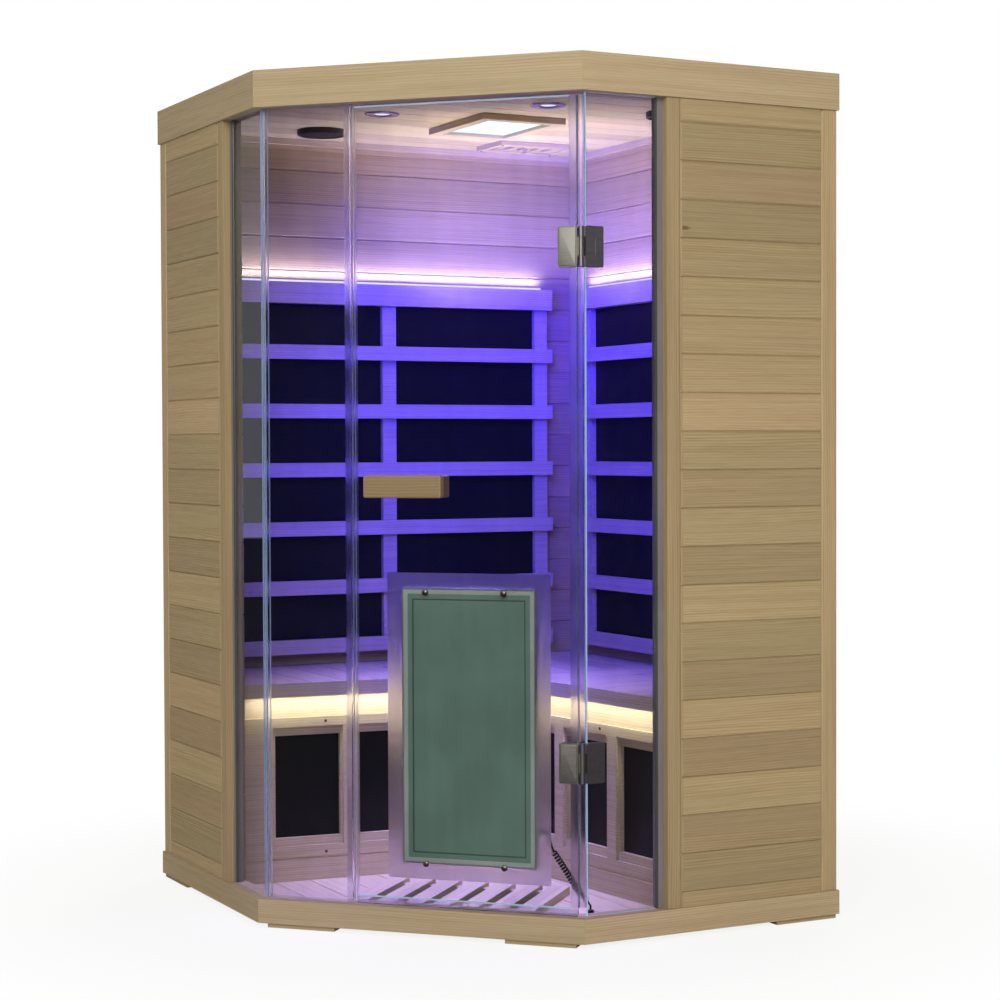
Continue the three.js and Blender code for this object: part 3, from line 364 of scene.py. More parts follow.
class Nodes:
    """Builds the nodes of a tree. An input that is given a socket is linked, and any other is set."""

    def __init__(self, tree):
        self.tree = tree

    def feed(self, socket, value):
        if isinstance(value, bpy.types.NodeSocket):
            self.tree.links.new(value, socket)
        else:
            socket.default_value = value

    def add(self, kind, inputs=None, **options):
        new = self.tree.nodes.new(f"ShaderNode{kind}")
        for key, value in options.items():
            setattr(new, key, value)
        for key, value in (inputs or {}).items():
            self.feed(new.inputs[key], value)
        return new

    def calc(self, operation, first, second=0.0, third=0.0):
        return self.add("Math", {0: first, 1: second, 2: third}, operation=operation).outputs[0]

    times = partialmethod(calc, "MULTIPLY")
    times_plus = partialmethod(calc, "MULTIPLY_ADD")
    divide = partialmethod(calc, "DIVIDE")
    plus = partialmethod(calc, "ADD")
    minus = partialmethod(calc, "SUBTRACT")
    larger = partialmethod(calc, "MAXIMUM")
    smaller = partialmethod(calc, "MINIMUM")
    above = partialmethod(calc, "GREATER_THAN")
    below = partialmethod(calc, "LESS_THAN")
    absolute = partialmethod(calc, "ABSOLUTE")
    floor = partialmethod(calc, "FLOOR")

    def wave(self, value, rate):
        return self.calc("SINE", self.times(value, rate))

    def vector(self, operation, first, second, output=0):
        return self.add("VectorMath", {0: first, 1: second}, operation=operation).outputs[output]

    def dot(self, first, second):
        return self.vector("DOT_PRODUCT", first, second, "Value")

    def scaled(self, vector, *factors):
        return self.vector("MULTIPLY", vector, factors)

    def parts(self, vector):
        return self.add("SeparateXYZ", {0: vector}).outputs

    def joined(self, *parts):
        return self.add("CombineXYZ", dict(enumerate(parts))).outputs[0]

    def channel(self, tone, index):
        return self.add("SeparateColor", {0: tone}).outputs[index]

    def mix(self, share, first, second, blend="MIX"):
        inputs = {0: share, 6: first, 7: second}
        return self.add("Mix", inputs, data_type="RGBA", blend_type=blend).outputs[2]

    def mix_vectors(self, share, first, second):
        return self.add("Mix", {0: share, 4: first, 5: second}, data_type="VECTOR").outputs[1]

    def mix_values(self, share, first, second):
        return self.add("Mix", {0: share, 2: first, 3: second}).outputs[0]

    def mix_shaders(self, share, first, second):
        return self.add("MixShader", {0: share, 1: first, 2: second}).outputs[0]

    def toned(self, tone, level):
        """A colour that grows lighter and darker with a level round 1."""
        grey = self.add("CombineColor", {0: level, 1: level, 2: level}).outputs[0]
        return self.mix(1.0, tone, grey, "MULTIPLY")

    def ramp(self, value, low, high, to_low=0.0, to_high=1.0):
        """A value carried smoothly from one range to another."""
        inputs = {"Value": value, "From Min": low, "From Max": high, "To Min": to_low, "To Max": to_high}
        return self.add("MapRange", inputs, interpolation_type="SMOOTHSTEP").outputs[0]

    def noise(self, vector, detail=2.0, roughness=0.5, scale=1.0):
        inputs = {"Vector": vector, "Scale": scale, "Detail": detail, "Roughness": roughness}
        return self.add("TexNoise", inputs).outputs[0]

    def effect(self, name, inputs):
        """A shared effect, which is built the first time it is placed."""
        shared = bpy.data.node_groups.get(name) or EFFECTS[name](name)
        return self.add("Group", inputs, node_tree=shared).outputs

    def ray_masks(self):
        """Rays that show the studio to the camera, also through glass, and rays that a mirror has turned."""
        path = self.add("LightPath").outputs
        bounces = self.plus(path["Diffuse Depth"], path["Glossy Depth"])
        straight = self.times(path["Is Transmission Ray"], self.below(bounces, 0.5))
        seen = self.larger(path["Is Camera Ray"], straight)
        return seen, self.larger(path["Is Glossy Ray"], self.above(path["Glossy Depth"], 0.5))


class Group(Nodes):
    """A new node group with named sockets."""

    def __init__(self, name, inputs, outputs):
        super().__init__(bpy.data.node_groups.new(name, "ShaderNodeTree"))
        for direction, sockets in (("INPUT", inputs), ("OUTPUT", outputs)):
            for title, kind in sockets.items():
                self.tree.interface.new_socket(title, in_out=direction, socket_type=f"NodeSocket{kind}")
        self.source = self.tree.nodes.new("NodeGroupInput").outputs
        self.result = self.tree.nodes.new("NodeGroupOutput").inputs

    def give(self, outputs):
        for title, value in outputs.items():
            self.feed(self.result[title], value)
        return self.tree


class Finish(Nodes):
    """A new material with one Principled shader, and the place and normal that its nodes read."""

    def __init__(self, name):
        self.material = bpy.data.materials.new(name)
        self.material.use_nodes = True
        super().__init__(self.material.node_tree)
        self.shader = self.tree.nodes["Principled BSDF"]
        coordinates = self.add("TexCoord").outputs
        self.place, self.normal = coordinates["Object"], coordinates["Normal"]

    def set(self, inputs):
        for key, value in inputs.items():
            self.feed(self.shader.inputs[key], value)

    def bump(self, height, strength, distance):
        relief = self.add("Bump", {"Height": height, "Strength": strength, "Distance": distance})
        self.set({"Normal": relief.outputs[0]})

    def show(self, surface):
        self.feed(self.tree.nodes["Material Output"].inputs["Surface"], surface)

    def pass_light(self, surface, shade):
        """Shows a surface, and lets the rays that carry light pass through it with a plain shade."""
        path = self.add("LightPath").outputs
        passing = self.larger(path["Is Shadow Ray"], path["Is Diffuse Ray"])
        clear = self.add("BsdfTransparent", {"Color": rgba(shade)}).outputs[0]
        self.show(self.mix_shaders(passing, surface, clear))

    def speckle(self, scale):
        return self.effect("fine_speckle", {"Vector": self.place, "Scale": scale})

    def face_space(self):
        return self.effect("face_space", {"Place": self.place, "Normal": self.normal})


# Shared effects

SPECKLE_GLOSS = (0.34, 0.5)  # least and greatest roughness that fine_speckle gives


def planed_timber(name):
    """Planed softwood: rings as wavy lines along the board, fibres, slow changes of tone and rare knots."""
    wood = Group(
        name,
        {"Vector": "Vector", "Board": "Float", "Light": "Color", "Dark": "Color", "Knot": "Color"},
        {"Color": "Color", "Roughness": "Float", "Height": "Float"},
    )
    source = wood.source
    chance = wood.add("TexWhiteNoise", {"W": source["Board"]}, noise_dimensions="1D").outputs
    place = wood.vector("ADD", source["Vector"], wood.scaled(chance["Color"], 9.0, 1.7, 1.7))
    figure = wood.noise(wood.scaled(place, 1.3, 7.0, 7.0))
    phase = wood.times_plus(figure, 7.0, wood.times(wood.parts(place)[1], 170.0))
    rings = wood.ramp(wood.wave(phase, 2 * math.pi), -0.4, 1.0)
    fibres = wood.noise(wood.scaled(place, 14.0, 640.0, 640.0), roughness=0.6)
    broad = wood.noise(wood.scaled(place, 1.7, 16.0, 16.0), detail=3.0)
    streaks = wood.noise(wood.scaled(place, 2.2, 130.0, 130.0))
    tone = wood.times(rings, wood.ramp(broad, 0.3, 0.7, 0.1, 0.44))
    tone = wood.times_plus(wood.ramp(fibres, 0.3, 0.7), 0.26, tone)
    tone = wood.times_plus(wood.ramp(streaks, 0.35, 0.75), 0.34, tone)
    board = wood.mix(tone, source["Light"], source["Dark"])
    greener = wood.mix(1.0, board, (0.9, 0.98, 0.93, 1.0), "MULTIPLY")
    board = wood.mix(wood.times(wood.channel(chance["Color"], 2), 0.85), board, greener)
    level = wood.times_plus(chance["Value"], 0.3, 0.86)
    board = wood.toned(board, wood.times(level, wood.ramp(broad, 0.25, 0.75, 0.95, 1.05)))
    cells = wood.add("TexVoronoi", {"Vector": wood.scaled(place, 2.6, 12.0, 12.0), "Scale": 1.0}).outputs
    rare = wood.above(wood.channel(cells["Color"], 0), 0.86)
    knot = wood.times(wood.ramp(cells["Distance"], 0.075, 0.03), rare)
    return wood.give({
        "Color": wood.mix(wood.times(knot, 0.75), board, source["Knot"]),
        "Roughness": wood.ramp(fibres, 0.2, 0.8, 0.48, 0.68),
        "Height": wood.times_plus(fibres, 0.6, wood.times(rings, 0.35)),
    })


def face_space(name):
    """Grain coordinates on any face: along the level line of an upright face, up it and in from it. A level
    face takes the place itself. Upright is 1 on upright faces."""
    space = Group(
        name,
        {"Place": "Vector", "Normal": "Vector"},
        {"Level": "Vector", "Standing": "Vector", "Upright": "Float"},
    )
    source = space.source
    place, normal = space.parts(source["Place"]), space.parts(source["Normal"])
    along = space.minus(space.times(place[1], normal[0]), space.times(place[0], normal[1]))
    inwards = space.plus(space.times(place[0], normal[0]), space.times(place[1], normal[1]))
    upright = space.below(space.absolute(normal[2]), 0.8)
    level = space.joined(along, place[2], inwards)
    standing = space.joined(place[2], along, inwards)
    return space.give({
        "Level": space.mix_vectors(upright, source["Place"], level),
        "Standing": space.mix_vectors(upright, source["Place"], standing),
        "Upright": upright,
    })


def fine_speckle(name):
    """Fine moulded or powder-coated texture: small cells and a slow change of gloss."""
    grain = Group(
        name,
        {"Vector": "Vector", "Scale": "Float"},
        {"Height": "Float", "Roughness": "Float", "Tone": "Float"},
    )
    source = grain.source
    slow = grain.noise(source["Vector"], detail=3.0, scale=9.0)
    return grain.give({
        "Height": grain.noise(source["Vector"], scale=source["Scale"]),
        "Roughness": grain.ramp(slow, 0.25, 0.75, *SPECKLE_GLOSS),
        "Tone": grain.ramp(slow, 0.25, 0.75, 0.9, 1.08),
    })


EFFECTS = {"planed_timber": planed_timber, "face_space": face_space, "fine_speckle": fine_speckle}


# Timber finishes

FIRST_STILE = 50.0  # board numbers, which set how boards differ
FIRST_INNER_BOARD = 100.0
FACE_WEIGHTS = (3.1, 7.3, 2.2)  # tell the faces of a rail apart


def timber(name, light, dark, grain, bump=0.3):
    """Timber whose grain coordinates and board number come from grain(finish)."""
    finish = Finish(name)
    vector, board = grain(finish)
    knot = settings("timber").knot
    inputs = {"Vector": vector, "Board": board, "Light": rgba(light), "Dark": rgba(dark), "Knot": rgba(knot)}
    wood = finish.effect("planed_timber", inputs)
    finish.set({"Base Color": wood["Color"], "Roughness": wood["Roughness"], "Specular IOR Level": 0.35})
    finish.bump(wood["Height"], strength=bump, distance=0.5 * MM)
    return finish.material


def level_rails(finish):
    """Rails and slats: the grain runs level along each face, and faces that look another way differ."""
    board = finish.calc("ROUND", finish.times(finish.dot(finish.normal, FACE_WEIGHTS), 2.0))
    return finish.face_space()["Level"], board


def wall_boards(direction, span, stiles, outward):
    """Level wall boards with an upright stile at each end of the outer face and on the wall's free end."""

    def grain(finish):
        sizes = settings("timber")
        space = finish.face_space()
        along = finish.plus(finish.dot(finish.place, direction), MIDDLE)
        steps = finish.minus(finish.parts(finish.place)[2], sizes.top_joint)
        board = finish.floor(finish.divide(steps, sizes.board_pitch))
        at_start = finish.below(along, span[0] + stiles[0])
        ends = finish.plus(at_start, finish.above(along, span[1] - stiles[1]))
        outer = finish.above(finish.dot(finish.normal, outward), 0.5)
        free_end = finish.above(finish.dot(finish.normal, direction), 0.5)
        stile = finish.larger(finish.times(ends, outer), free_end)
        standing = finish.plus(finish.above(along, sum(span) / 2), FIRST_STILE)
        level = finish.plus(board, finish.times(finish.minus(1.0, outer), FIRST_INNER_BOARD))
        number = finish.plus(finish.times(stile, standing), finish.times(finish.minus(1.0, stile), level))
        return finish.mix_vectors(stile, space["Level"], space["Standing"]), number

    return grain


def level_boards(direction, across, offset):
    """Boards of a floor, seat or ceiling along a direction. Upright faces keep the grain level."""

    def grain(finish):
        space = finish.face_space()
        along = finish.dot(finish.place, direction)
        side = finish.plus(finish.dot(finish.place, across), offset)
        boards = finish.joined(along, side, finish.parts(finish.place)[2])
        number = finish.floor(finish.divide(side, settings("timber").board_pitch))
        vector = finish.mix_vectors(space["Upright"], boards, space["Level"])
        return vector, finish.times(number, finish.minus(1.0, space["Upright"]))

    return grain


class CABIN_OT_timber(bpy.types.Operator):
    """Gives the walls, floor, roof, bench, guards and handle their boards."""

    bl_idname = "cabin.timber"
    bl_label = "Timber"

    def execute(self, context):
        sizes = settings("timber")
        outer = (sizes.outer_light, sizes.outer_dark)
        inner = (sizes.inner_light, sizes.inner_dark)
        wall, near = sizes.wall_thickness, WALL_SETBACK
        side = ((near, wall_end() - near), (sizes.back_stile, sizes.front_stile))
        far, back = BACK_WALL - wall, (sizes.back_stile, sizes.back_stile)
        walls = {
            "left_wall": (ALONG_B, *side, ALONG_A),
            "right_wall": (ALONG_A, *side, ALONG_B),
            "back_left_wall": (ALONG_A, (near, far), back, -ALONG_B),
            "back_right_wall": (ALONG_B, (wall, far), back, -ALONG_A),
        }
        for name, layout in walls.items():
            dress([name], timber(f"{name}_boards", *outer, wall_boards(*layout)))
        rails = timber("outer_rails", sizes.rail_light, sizes.rail_dark, level_rails)
        feet = [name for name in NODES if name.startswith("foot_")]
        dress(["base_frame", "roof_fascia", "roof_cover", *feet], rails)
        inner_rails = timber("inner_rails", *inner, level_rails)
        dress(["back_left_guard", "back_right_guard", "crown_moulding", "light_frame"], inner_rails)
        dress(["bench_front_left", "bench_front_right", "vent_frame", "vent_shutter"], inner_rails)
        inset = MIDDLE - wall
        along_b = timber("boards_along_right_wall", *inner, level_boards(ALONG_B, ALONG_A, inset))
        along_a = timber("boards_along_left_wall", *inner, level_boards(ALONG_A, ALONG_B, inset))
        dress(["floor_deck", "bench_seat_left"], along_b)
        dress(["ceiling_panel", "bench_seat_right"], along_a)
        grille_edge = 0.183
        slats = level_boards((0.0, 1.0, 0.0), (1.0, 0.0, 0.0), grille_edge)
        dress(["floor_grille"], timber("duckboard", *inner, slats))
        handle = timber("handle_timber", sizes.handle_light, sizes.handle_dark, level_rails, bump=0.4)
        dress(["handle_outer", "handle_inner"], handle)
        return {"FINISHED"}


# Glass, film and seals

PAINTED_EDGE_GLOW = 0.08  # painted glow: emission of a polished edge in place of the light it gathers
PAINTED_HINGE_EDGE_GLOW = 0.42  # stronger painted glow on the right side glass, beside the hinges


def see_through(name, tint, edge, pane_normal, shade, glow, roughness=0.0):
    """Clear glass. Faces that don't look along the pane's normal are polished edges with a painted glow, an
    emission in the edge colour in place of the light they gather, and light rays pass through with a plain
    shade."""
    finish = Finish(name)
    turned = finish.absolute(finish.dot(finish.normal, pane_normal))
    veil = finish.ramp(finish.noise(finish.scaled(finish.place, 30.0, 30.0, 3.0)), 0.3, 0.7, 0.94, 1.0)
    finish.set({"Base Color": finish.toned(rgba(tint), veil), "Roughness": roughness})
    finish.set({"IOR": 1.45, "Transmission Weight": 1.0})
    # painted glow: the polished edges emit their colour in place of the light they gather
    inputs = {"Base Color": rgba(edge), "Roughness": 0.18}
    inputs |= {"Emission Color": rgba(edge), "Emission Strength": glow}
    polished = finish.add("BsdfPrincipled", inputs).outputs[0]
    surface = finish.mix_shaders(finish.below(turned, 0.6), finish.shader.outputs[0], polished)
    finish.pass_light(surface, shade)
    return finish.material


def milky(name, tint, roughness, shade):
    """Clear plastic or film with a matt face, which blurs and passes on the light behind it."""
    finish = Finish(name)
    tone = finish.toned(rgba(tint), finish.speckle(scale=1800.0)["Tone"])
    finish.set({"Base Color": tone, "Roughness": roughness, "IOR": 1.3, "Transmission Weight": 1.0})
    finish.pass_light(finish.shader.outputs[0], shade)
    return finish.material


class CABIN_OT_glazing(bpy.types.Operator):
    """Makes the glass clear and adds the door's seals and the frosted film round its heater."""

    bl_idname = "cabin.glazing"
    bl_label = "Glass and seals"

    def execute(self, context):
        glazing = settings("glazing")
        panes = {
            "left_side_glass": (ALONG_A, PAINTED_EDGE_GLOW),
            "right_side_glass": (ALONG_B, PAINTED_HINGE_EDGE_GLOW),
            "front_fixed_glass": (OUTWARDS, PAINTED_EDGE_GLOW),
            "door_glass": (OUTWARDS, PAINTED_EDGE_GLOW),
        }
        for name, (normal, glow) in panes.items():
            clear = see_through(f"{name}_clear", glazing.tint, glazing.edge, normal, glazing.shade, glow)
            dress([name], clear)
        seal = milky("clear_seal", glazing.seal, roughness=0.2, shade=(0.75, 0.75, 0.78))
        dress(["corner_seal", "strike_seal"], seal)
        low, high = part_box("door_glass")
        self.add_door_seals(glazing, seal, low, high)
        self.add_edge_lines(glazing, low, high)
        self.add_film(glazing)
        self.add_gaskets()
        return {"FINISHED"}

    def add_door_seals(self, glazing, seal, low, high):
        """The sweep under the door, and clear of the hinges three jaws over both faces of its edge and three
        tubes round the hinge axis."""
        gap = 0.4 * MM
        outer, inner = low.y - gap, high.y + gap
        outside, inside = outer - glazing.jaw_thickness, inner + glazing.jaw_thickness
        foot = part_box("base_frame")[1].z + 0.6 * MM
        bottom = low.z - gap
        rim = bottom + 11 * MM
        sweep = [
            (outside, foot), (inside, foot), (inside, rim), (inner, rim),
            (inner, bottom), (outer, bottom), (outer, rim), (outside, rim),
        ]
        sweep_inset = 2 * MM
        piece = prism("door_sweep", sweep, X, low.x + sweep_inset, high.x - low.x - 2 * sweep_inset)
        finish_piece(piece, "door", seal)
        edge = high.x + gap
        tip, back = edge - glazing.jaw, edge + glazing.jaw_thickness
        jaw = [
            (tip, outside), (back, outside), (back, inside), (tip, inside),
            (tip, inner), (edge, inner), (edge, outer), (tip, outer),
        ]
        lower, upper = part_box("lower_hinge_door_leaf"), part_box("upper_hinge_door_leaf")
        stops = [low.z + 14 * MM, lower[0].z, lower[1].z, upper[0].z, upper[1].z, high.z]
        clear = 2 * MM
        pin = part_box("lower_hinge_pin")
        axis = ((pin[0].x + pin[1].x) / 2, (low.y + high.y) / 2, 0)
        tube, bore = unit_circle(32) * 8 * MM, unit_circle(32) * 7 * MM
        for number, place in enumerate(("low", "middle", "high")):
            start, end = stops[2 * number] + clear, stops[2 * number + 1] - clear
            piece = prism(f"hinge_seal_{place}", jaw, Z, start, end - start)
            finish_piece(piece, "door", seal)
            piece = hollow(f"hinge_bulb_{place}", tube, bore, start, end, axis, UP)
            finish_piece(piece, "cabin", seal)

    def add_edge_lines(self, glazing, low, high):
        """Ground edges of the door along its head and its foot as they show through the glass: flat strips on
        the outer face, whose upright faces glow with the painted edge glow.
        """
        level, pale = (0.0, 0.0, 2.0), (0.8, 0.8, 0.8)  # upright faces then count as polished edges, with their painted glow
        painted_line = see_through("painted_edge_line", glazing.edge, glazing.edge, level, pale, PAINTED_EDGE_GLOW, roughness=0.3)
        front, back = low.y - 0.3 * MM, low.y - 0.05 * MM
        tall, inset, short = 3.2 * MM, 1 * MM, 15 * MM  # short of the hinge seal
        for place, z in (("head", high.z - 3.4 * MM), ("foot", low.z + 12 * MM)):
            face = [(front, z), (back, z), (back, z + tall), (front, z + tall)]
            strip = prism(f"door_{place}_edge", face, X, low.x + inset, high.x - low.x - inset - short)
            finish_piece(strip, "door", painted_line)

    def add_film(self, glazing):
        """Frosted film on the inner face of the door, a flat frame round the heater."""
        low, high = casing_box()
        width, height = high.x - low.x, high.z - low.z
        margin, lap, thickness = 2 * glazing.film_margin, 6 * MM, 0.1 * MM
        outer = rounded_outline(width + margin, height + margin, radius=4 * MM)
        inner = rounded_outline(width - lap, height - lap, radius=1 * MM)
        centre = ((low.x + high.x) / 2, low.y - thickness, (low.z + high.z) / 2)
        piece = hollow("heater_film", outer, inner, 0.0, thickness, centre, OUTWARDS)
        frosted = milky("frosted_film", glazing.film, roughness=0.58, shade=(0.6, 0.6, 0.6))
        finish_piece(piece, "door", frosted)

    def add_gaskets(self):
        """A black bead on the outside of each side glass, in the corner between the glass and its channel."""
        black = moulded("gasket_rubber", settings("fittings").gasket, scale=1400.0)
        low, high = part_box("left_glass_channel")
        channel = wall_end() + 0.3 * MM
        bead = ((24.8, 14.2), (21.5, 14.2), (22.5, 19.0), (24.8, 20.0))
        for side in ("left", "right"):
            corners = [side_point(side, BACK_WALL - a * MM, channel + b * MM, 0) for a, b in bead]
            profile = [(point.x, point.y) for point in (corners if side == "left" else corners[::-1])]
            piece = prism(f"{side}_gasket", profile, Z, low.z + 1 * MM, high.z - low.z - 2 * MM)
            finish_piece(piece, "cabin", black)


# Plain finishes


def moulded(name, tone, scale, bump=0.25):
    """Moulded plastic, rubber or anodised metal with a fine grain."""
    finish = Finish(name)
    grain = finish.speckle(scale)
    finish.set({"Base Color": finish.toned(rgba(tone), grain["Tone"]), "Roughness": grain["Roughness"]})
    finish.bump(grain["Height"], strength=bump, distance=0.4 * MM)
    return finish.material


def brushed(name, tone, stretch, roughness):
    """Brushed metal: noise drawn out along the brush marks sets tone, gloss and bump."""
    finish = Finish(name)
    marks = finish.noise(finish.scaled(finish.place, *stretch), detail=3.0, roughness=0.6)
    finish.set({
        "Base Color": finish.toned(rgba(tone), finish.ramp(marks, 0.3, 0.7, 0.85, 1.1)),
        "Metallic": 1.0,
        "Roughness": finish.ramp(marks, 0.25, 0.75, roughness, roughness + 0.16),
    })
    finish.bump(marks, strength=0.12, distance=0.2 * MM)
    return finish.material


def lit(name, tone, strength):
    """A lit diffuser, a little brighter in some places than in others."""
    finish = Finish(name)
    glow = finish.ramp(finish.noise(finish.scaled(finish.place, 30.0, 30.0, 30.0)), 0.3, 0.7, 0.9, 1.0)
    finish.set({
        "Base Color": (0.12, 0.12, 0.12, 1.0),
        "Emission Color": finish.toned(rgba(tone), glow),
        "Emission Strength": strength,
    })
    return finish.material


# Heaters


class CABIN_OT_heaters(bpy.types.Operator):
    """Finishes the black heating panels and the door heater, with its cap bolts and edge screws."""

    bl_idname = "cabin.heaters"
    bl_label = "Heaters"

    def execute(self, context):
        fittings = settings("fittings")
        panels = [name for name in NODES if name.endswith("_heater") or name.startswith("calf_heater")]
        dress([*panels, "door_heater_emitter"], self.carbon(fittings))
        low, high = casing_box()
        dress(["door_heater_casing"], self.casing(fittings, low, high))
        self.add_cap_bolts(fittings, low, high)
        self.add_casing_screws(fittings, low, high)
        return {"FINISHED"}

    def add_four(self, name, profile, places, y, heights, material, segments):
        """Four turned pieces at the door heater, high and low on its left and its right."""
        for side, x in zip(("left", "right"), places):
            for level, z in zip(("high", "low"), heights):
                piece = revolved(f"{name}_{side}_{level}", profile, (x, y, z), OUTWARDS, segments)
                finish_piece(piece, "door", material)

    def add_cap_bolts(self, fittings, low, high):
        """Domed caps on the outer face of the glass."""
        bronze = brushed("bronze_cap", fittings.bronze, (900.0, 60.0, 900.0), roughness=0.3)
        radius = fittings.cap_radius
        cap = domed(radius, foot=0.0, base=2 * MM, rise=0.5 * radius, reach=0.47)
        places = (low.x + 56 * MM, high.x - 70 * MM)
        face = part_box("door_glass")[0].y - 0.2 * MM
        heights = (high.z - 8.5 * MM, low.z + 0.5 * MM)
        self.add_four("cap_bolt", cap, places, face, heights, bronze, segments=48)

    def add_casing_screws(self, fittings, low, high):
        """Thin screw heads on the casing's border: a disc with a softened rim and a dished middle, whose
        near-white tone is bright zinc and a painted glint.
        """
        glinting_zinc = moulded("zinc_screw_with_painted_glint", fittings.glinting_zinc, scale=900.0)
        disc = np.array([(2.3, 0.0), (2.3, 0.06), (1.9, 0.12), (0.9, 0.12), (0.7, 0.05)]) * MM
        inset = 4 * MM
        heights = [low.z + share * (high.z - low.z) for share in (0.726, 0.31)]
        sides = (low.x + inset, high.x - inset)
        self.add_four("casing_screw", disc, sides, low.y, heights, glinting_zinc, segments=24)

    def carbon(self, fittings):
        """Black panel with the faint level bands of its heating layer."""
        finish = Finish("carbon_panel")
        bands = finish.ramp(finish.wave(finish.parts(finish.place)[2], rate=900.0), -1.0, 1.0)
        grain = finish.speckle(scale=700.0)
        level = finish.times(grain["Tone"], finish.ramp(bands, 0.0, 1.0, 0.85, 1.1))
        finish.set({
            "Base Color": finish.toned(rgba(fittings.carbon), level),
            "Roughness": finish.ramp(grain["Roughness"], *SPECKLE_GLOSS, 0.42, 0.56),
            "Specular IOR Level": 0.2,
        })
        finish.bump(grain["Height"], strength=0.2, distance=0.3 * MM)
        return finish.material

    def casing(self, fittings, low, high):
        """Grey-green powder coat: a pale frame round a darker field, with a dark line of painted shade along
        the step in the back.
        """
        finish = Finish("heater_casing")
        border_width, step_shade_inset, step_shade_half = 12.5 * MM, 24.5 * MM, 1.5 * MM
        parts = finish.parts(finish.place)

        def from_edge(part, start, end):
            off_middle = finish.absolute(finish.minus(part, (start + end) / 2))
            return finish.minus((end - start) / 2, off_middle)

        edge = finish.smaller(from_edge(parts[0], low.x, high.x), from_edge(parts[2], low.z, high.z))
        border = finish.below(edge, border_width)
        # painted shade: a dark line along the step in the casing's back, 24.5 mm in from its edge
        line = finish.calc("COMPARE", edge, step_shade_inset, step_shade_half)
        grain = finish.speckle(scale=1500.0)
        coat = finish.mix(border, rgba(fittings.casing), rgba(fittings.casing_border))
        coat = finish.mix(finish.times(line, 0.75), coat, rgba(fittings.casing_step_shade))
        finish.set({"Base Color": finish.toned(coat, grain["Tone"]), "Roughness": grain["Roughness"]})
        finish.bump(grain["Height"], strength=0.15, distance=0.3 * MM)
        return finish.material


# Metalwork, screws and black fittings


def screw_profile(radius):
    """A pan-head screw: a short rim and a quarter wave for the crown, down to a small recess."""
    angle = np.linspace(0, np.pi / 2, 6)
    crown = np.stack([radius * (0.35 + 0.65 * np.cos(angle)), 0.35 * radius * (1 + np.sin(angle))], axis=-1)
    return [(radius, 0.0), *crown, (0.3 * radius, 0.4 * radius), (0.05 * radius, 0.38 * radius)]


def screw_steel():
    """The dark steel that the bench's and the vent's screws share."""
    existing = bpy.data.materials.get("dark_screw")
    return existing or brushed("dark_screw", settings("fittings").screw, (900.0, 900.0, 60.0), roughness=0.35)


class CABIN_OT_hardware(bpy.types.Operator):
    """Finishes the hinges and channels and adds the hinge covers and the bench screws."""

    bl_idname = "cabin.hardware"
    bl_label = "Hinges and screws"

    def execute(self, context):
        fittings = settings("fittings")
        upright_marks = {"stretch": (60.0, 60.0, 1400.0), "roughness": 0.42}
        steel = brushed("brushed_steel", fittings.steel, **upright_marks)
        dress([name for name in NODES if "_hinge_" in name], steel)
        shaded = brushed("dark_steel", fittings.dark_steel, **upright_marks)
        dress(["lower_hinge_fixed_leaf", "upper_hinge_fixed_leaf"], shaded)
        anodised = moulded("anodised_channel", fittings.aluminium, scale=1500.0)
        dress(["left_glass_channel", "right_glass_channel"], anodised)
        for place in ("lower", "upper"):
            low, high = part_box(f"{place}_hinge_door_leaf")
            centre = (low.x + 21.5 * MM, low.y + 0.1 * MM, (low.z + high.z) / 2)
            width, height = 38 * MM, high.z - low.z - 5 * MM
            cover = plate(f"{place}_hinge_cover", centre, OUTWARDS, width, height,
                          radius=3 * MM, thickness=1.6 * MM, edge=1.2 * MM)
            finish_piece(cover, "door", steel)
        self.add_bench_screws(fittings)
        return {"FINISHED"}

    def add_bench_screws(self, fittings):
        """Dark screws in the bench fronts' rails, each placed from its side wall and from the floor."""
        wall = settings("timber").wall_thickness
        seat_depth, overhang = 384 * MM, 22 * MM  # at the side wall, and of the seat's lip
        slope, facing = 0.1018, 0.9948  # sine and cosine of a front's turn from its back wall
        profile = screw_profile(fittings.screw_radius)
        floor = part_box("floor_deck")[1].z
        high, low = 0.378, 0.066
        screws = (("left", 0.205, high), ("left", 0.205, low), ("left", 0.5, high), ("right", 0.05, high),
                  ("right", 0.05, low), ("right", 0.262, high), ("right", 0.47, high))
        for number, (side, from_end, rise) in enumerate(screws):
            along = BACK_WALL - wall - from_end
            across = wall + seat_depth - overhang + slope * from_end
            first, second = (ALONG_A, ALONG_B) if side == "left" else (ALONG_B, ALONG_A)
            axis = slope * first + facing * second
            centre = side_point(side, along, across, floor + rise)
            piece = revolved(f"bench_screw_{number + 1}", profile, centre, axis, segments=20)
            finish_piece(piece, "cabin", screw_steel())


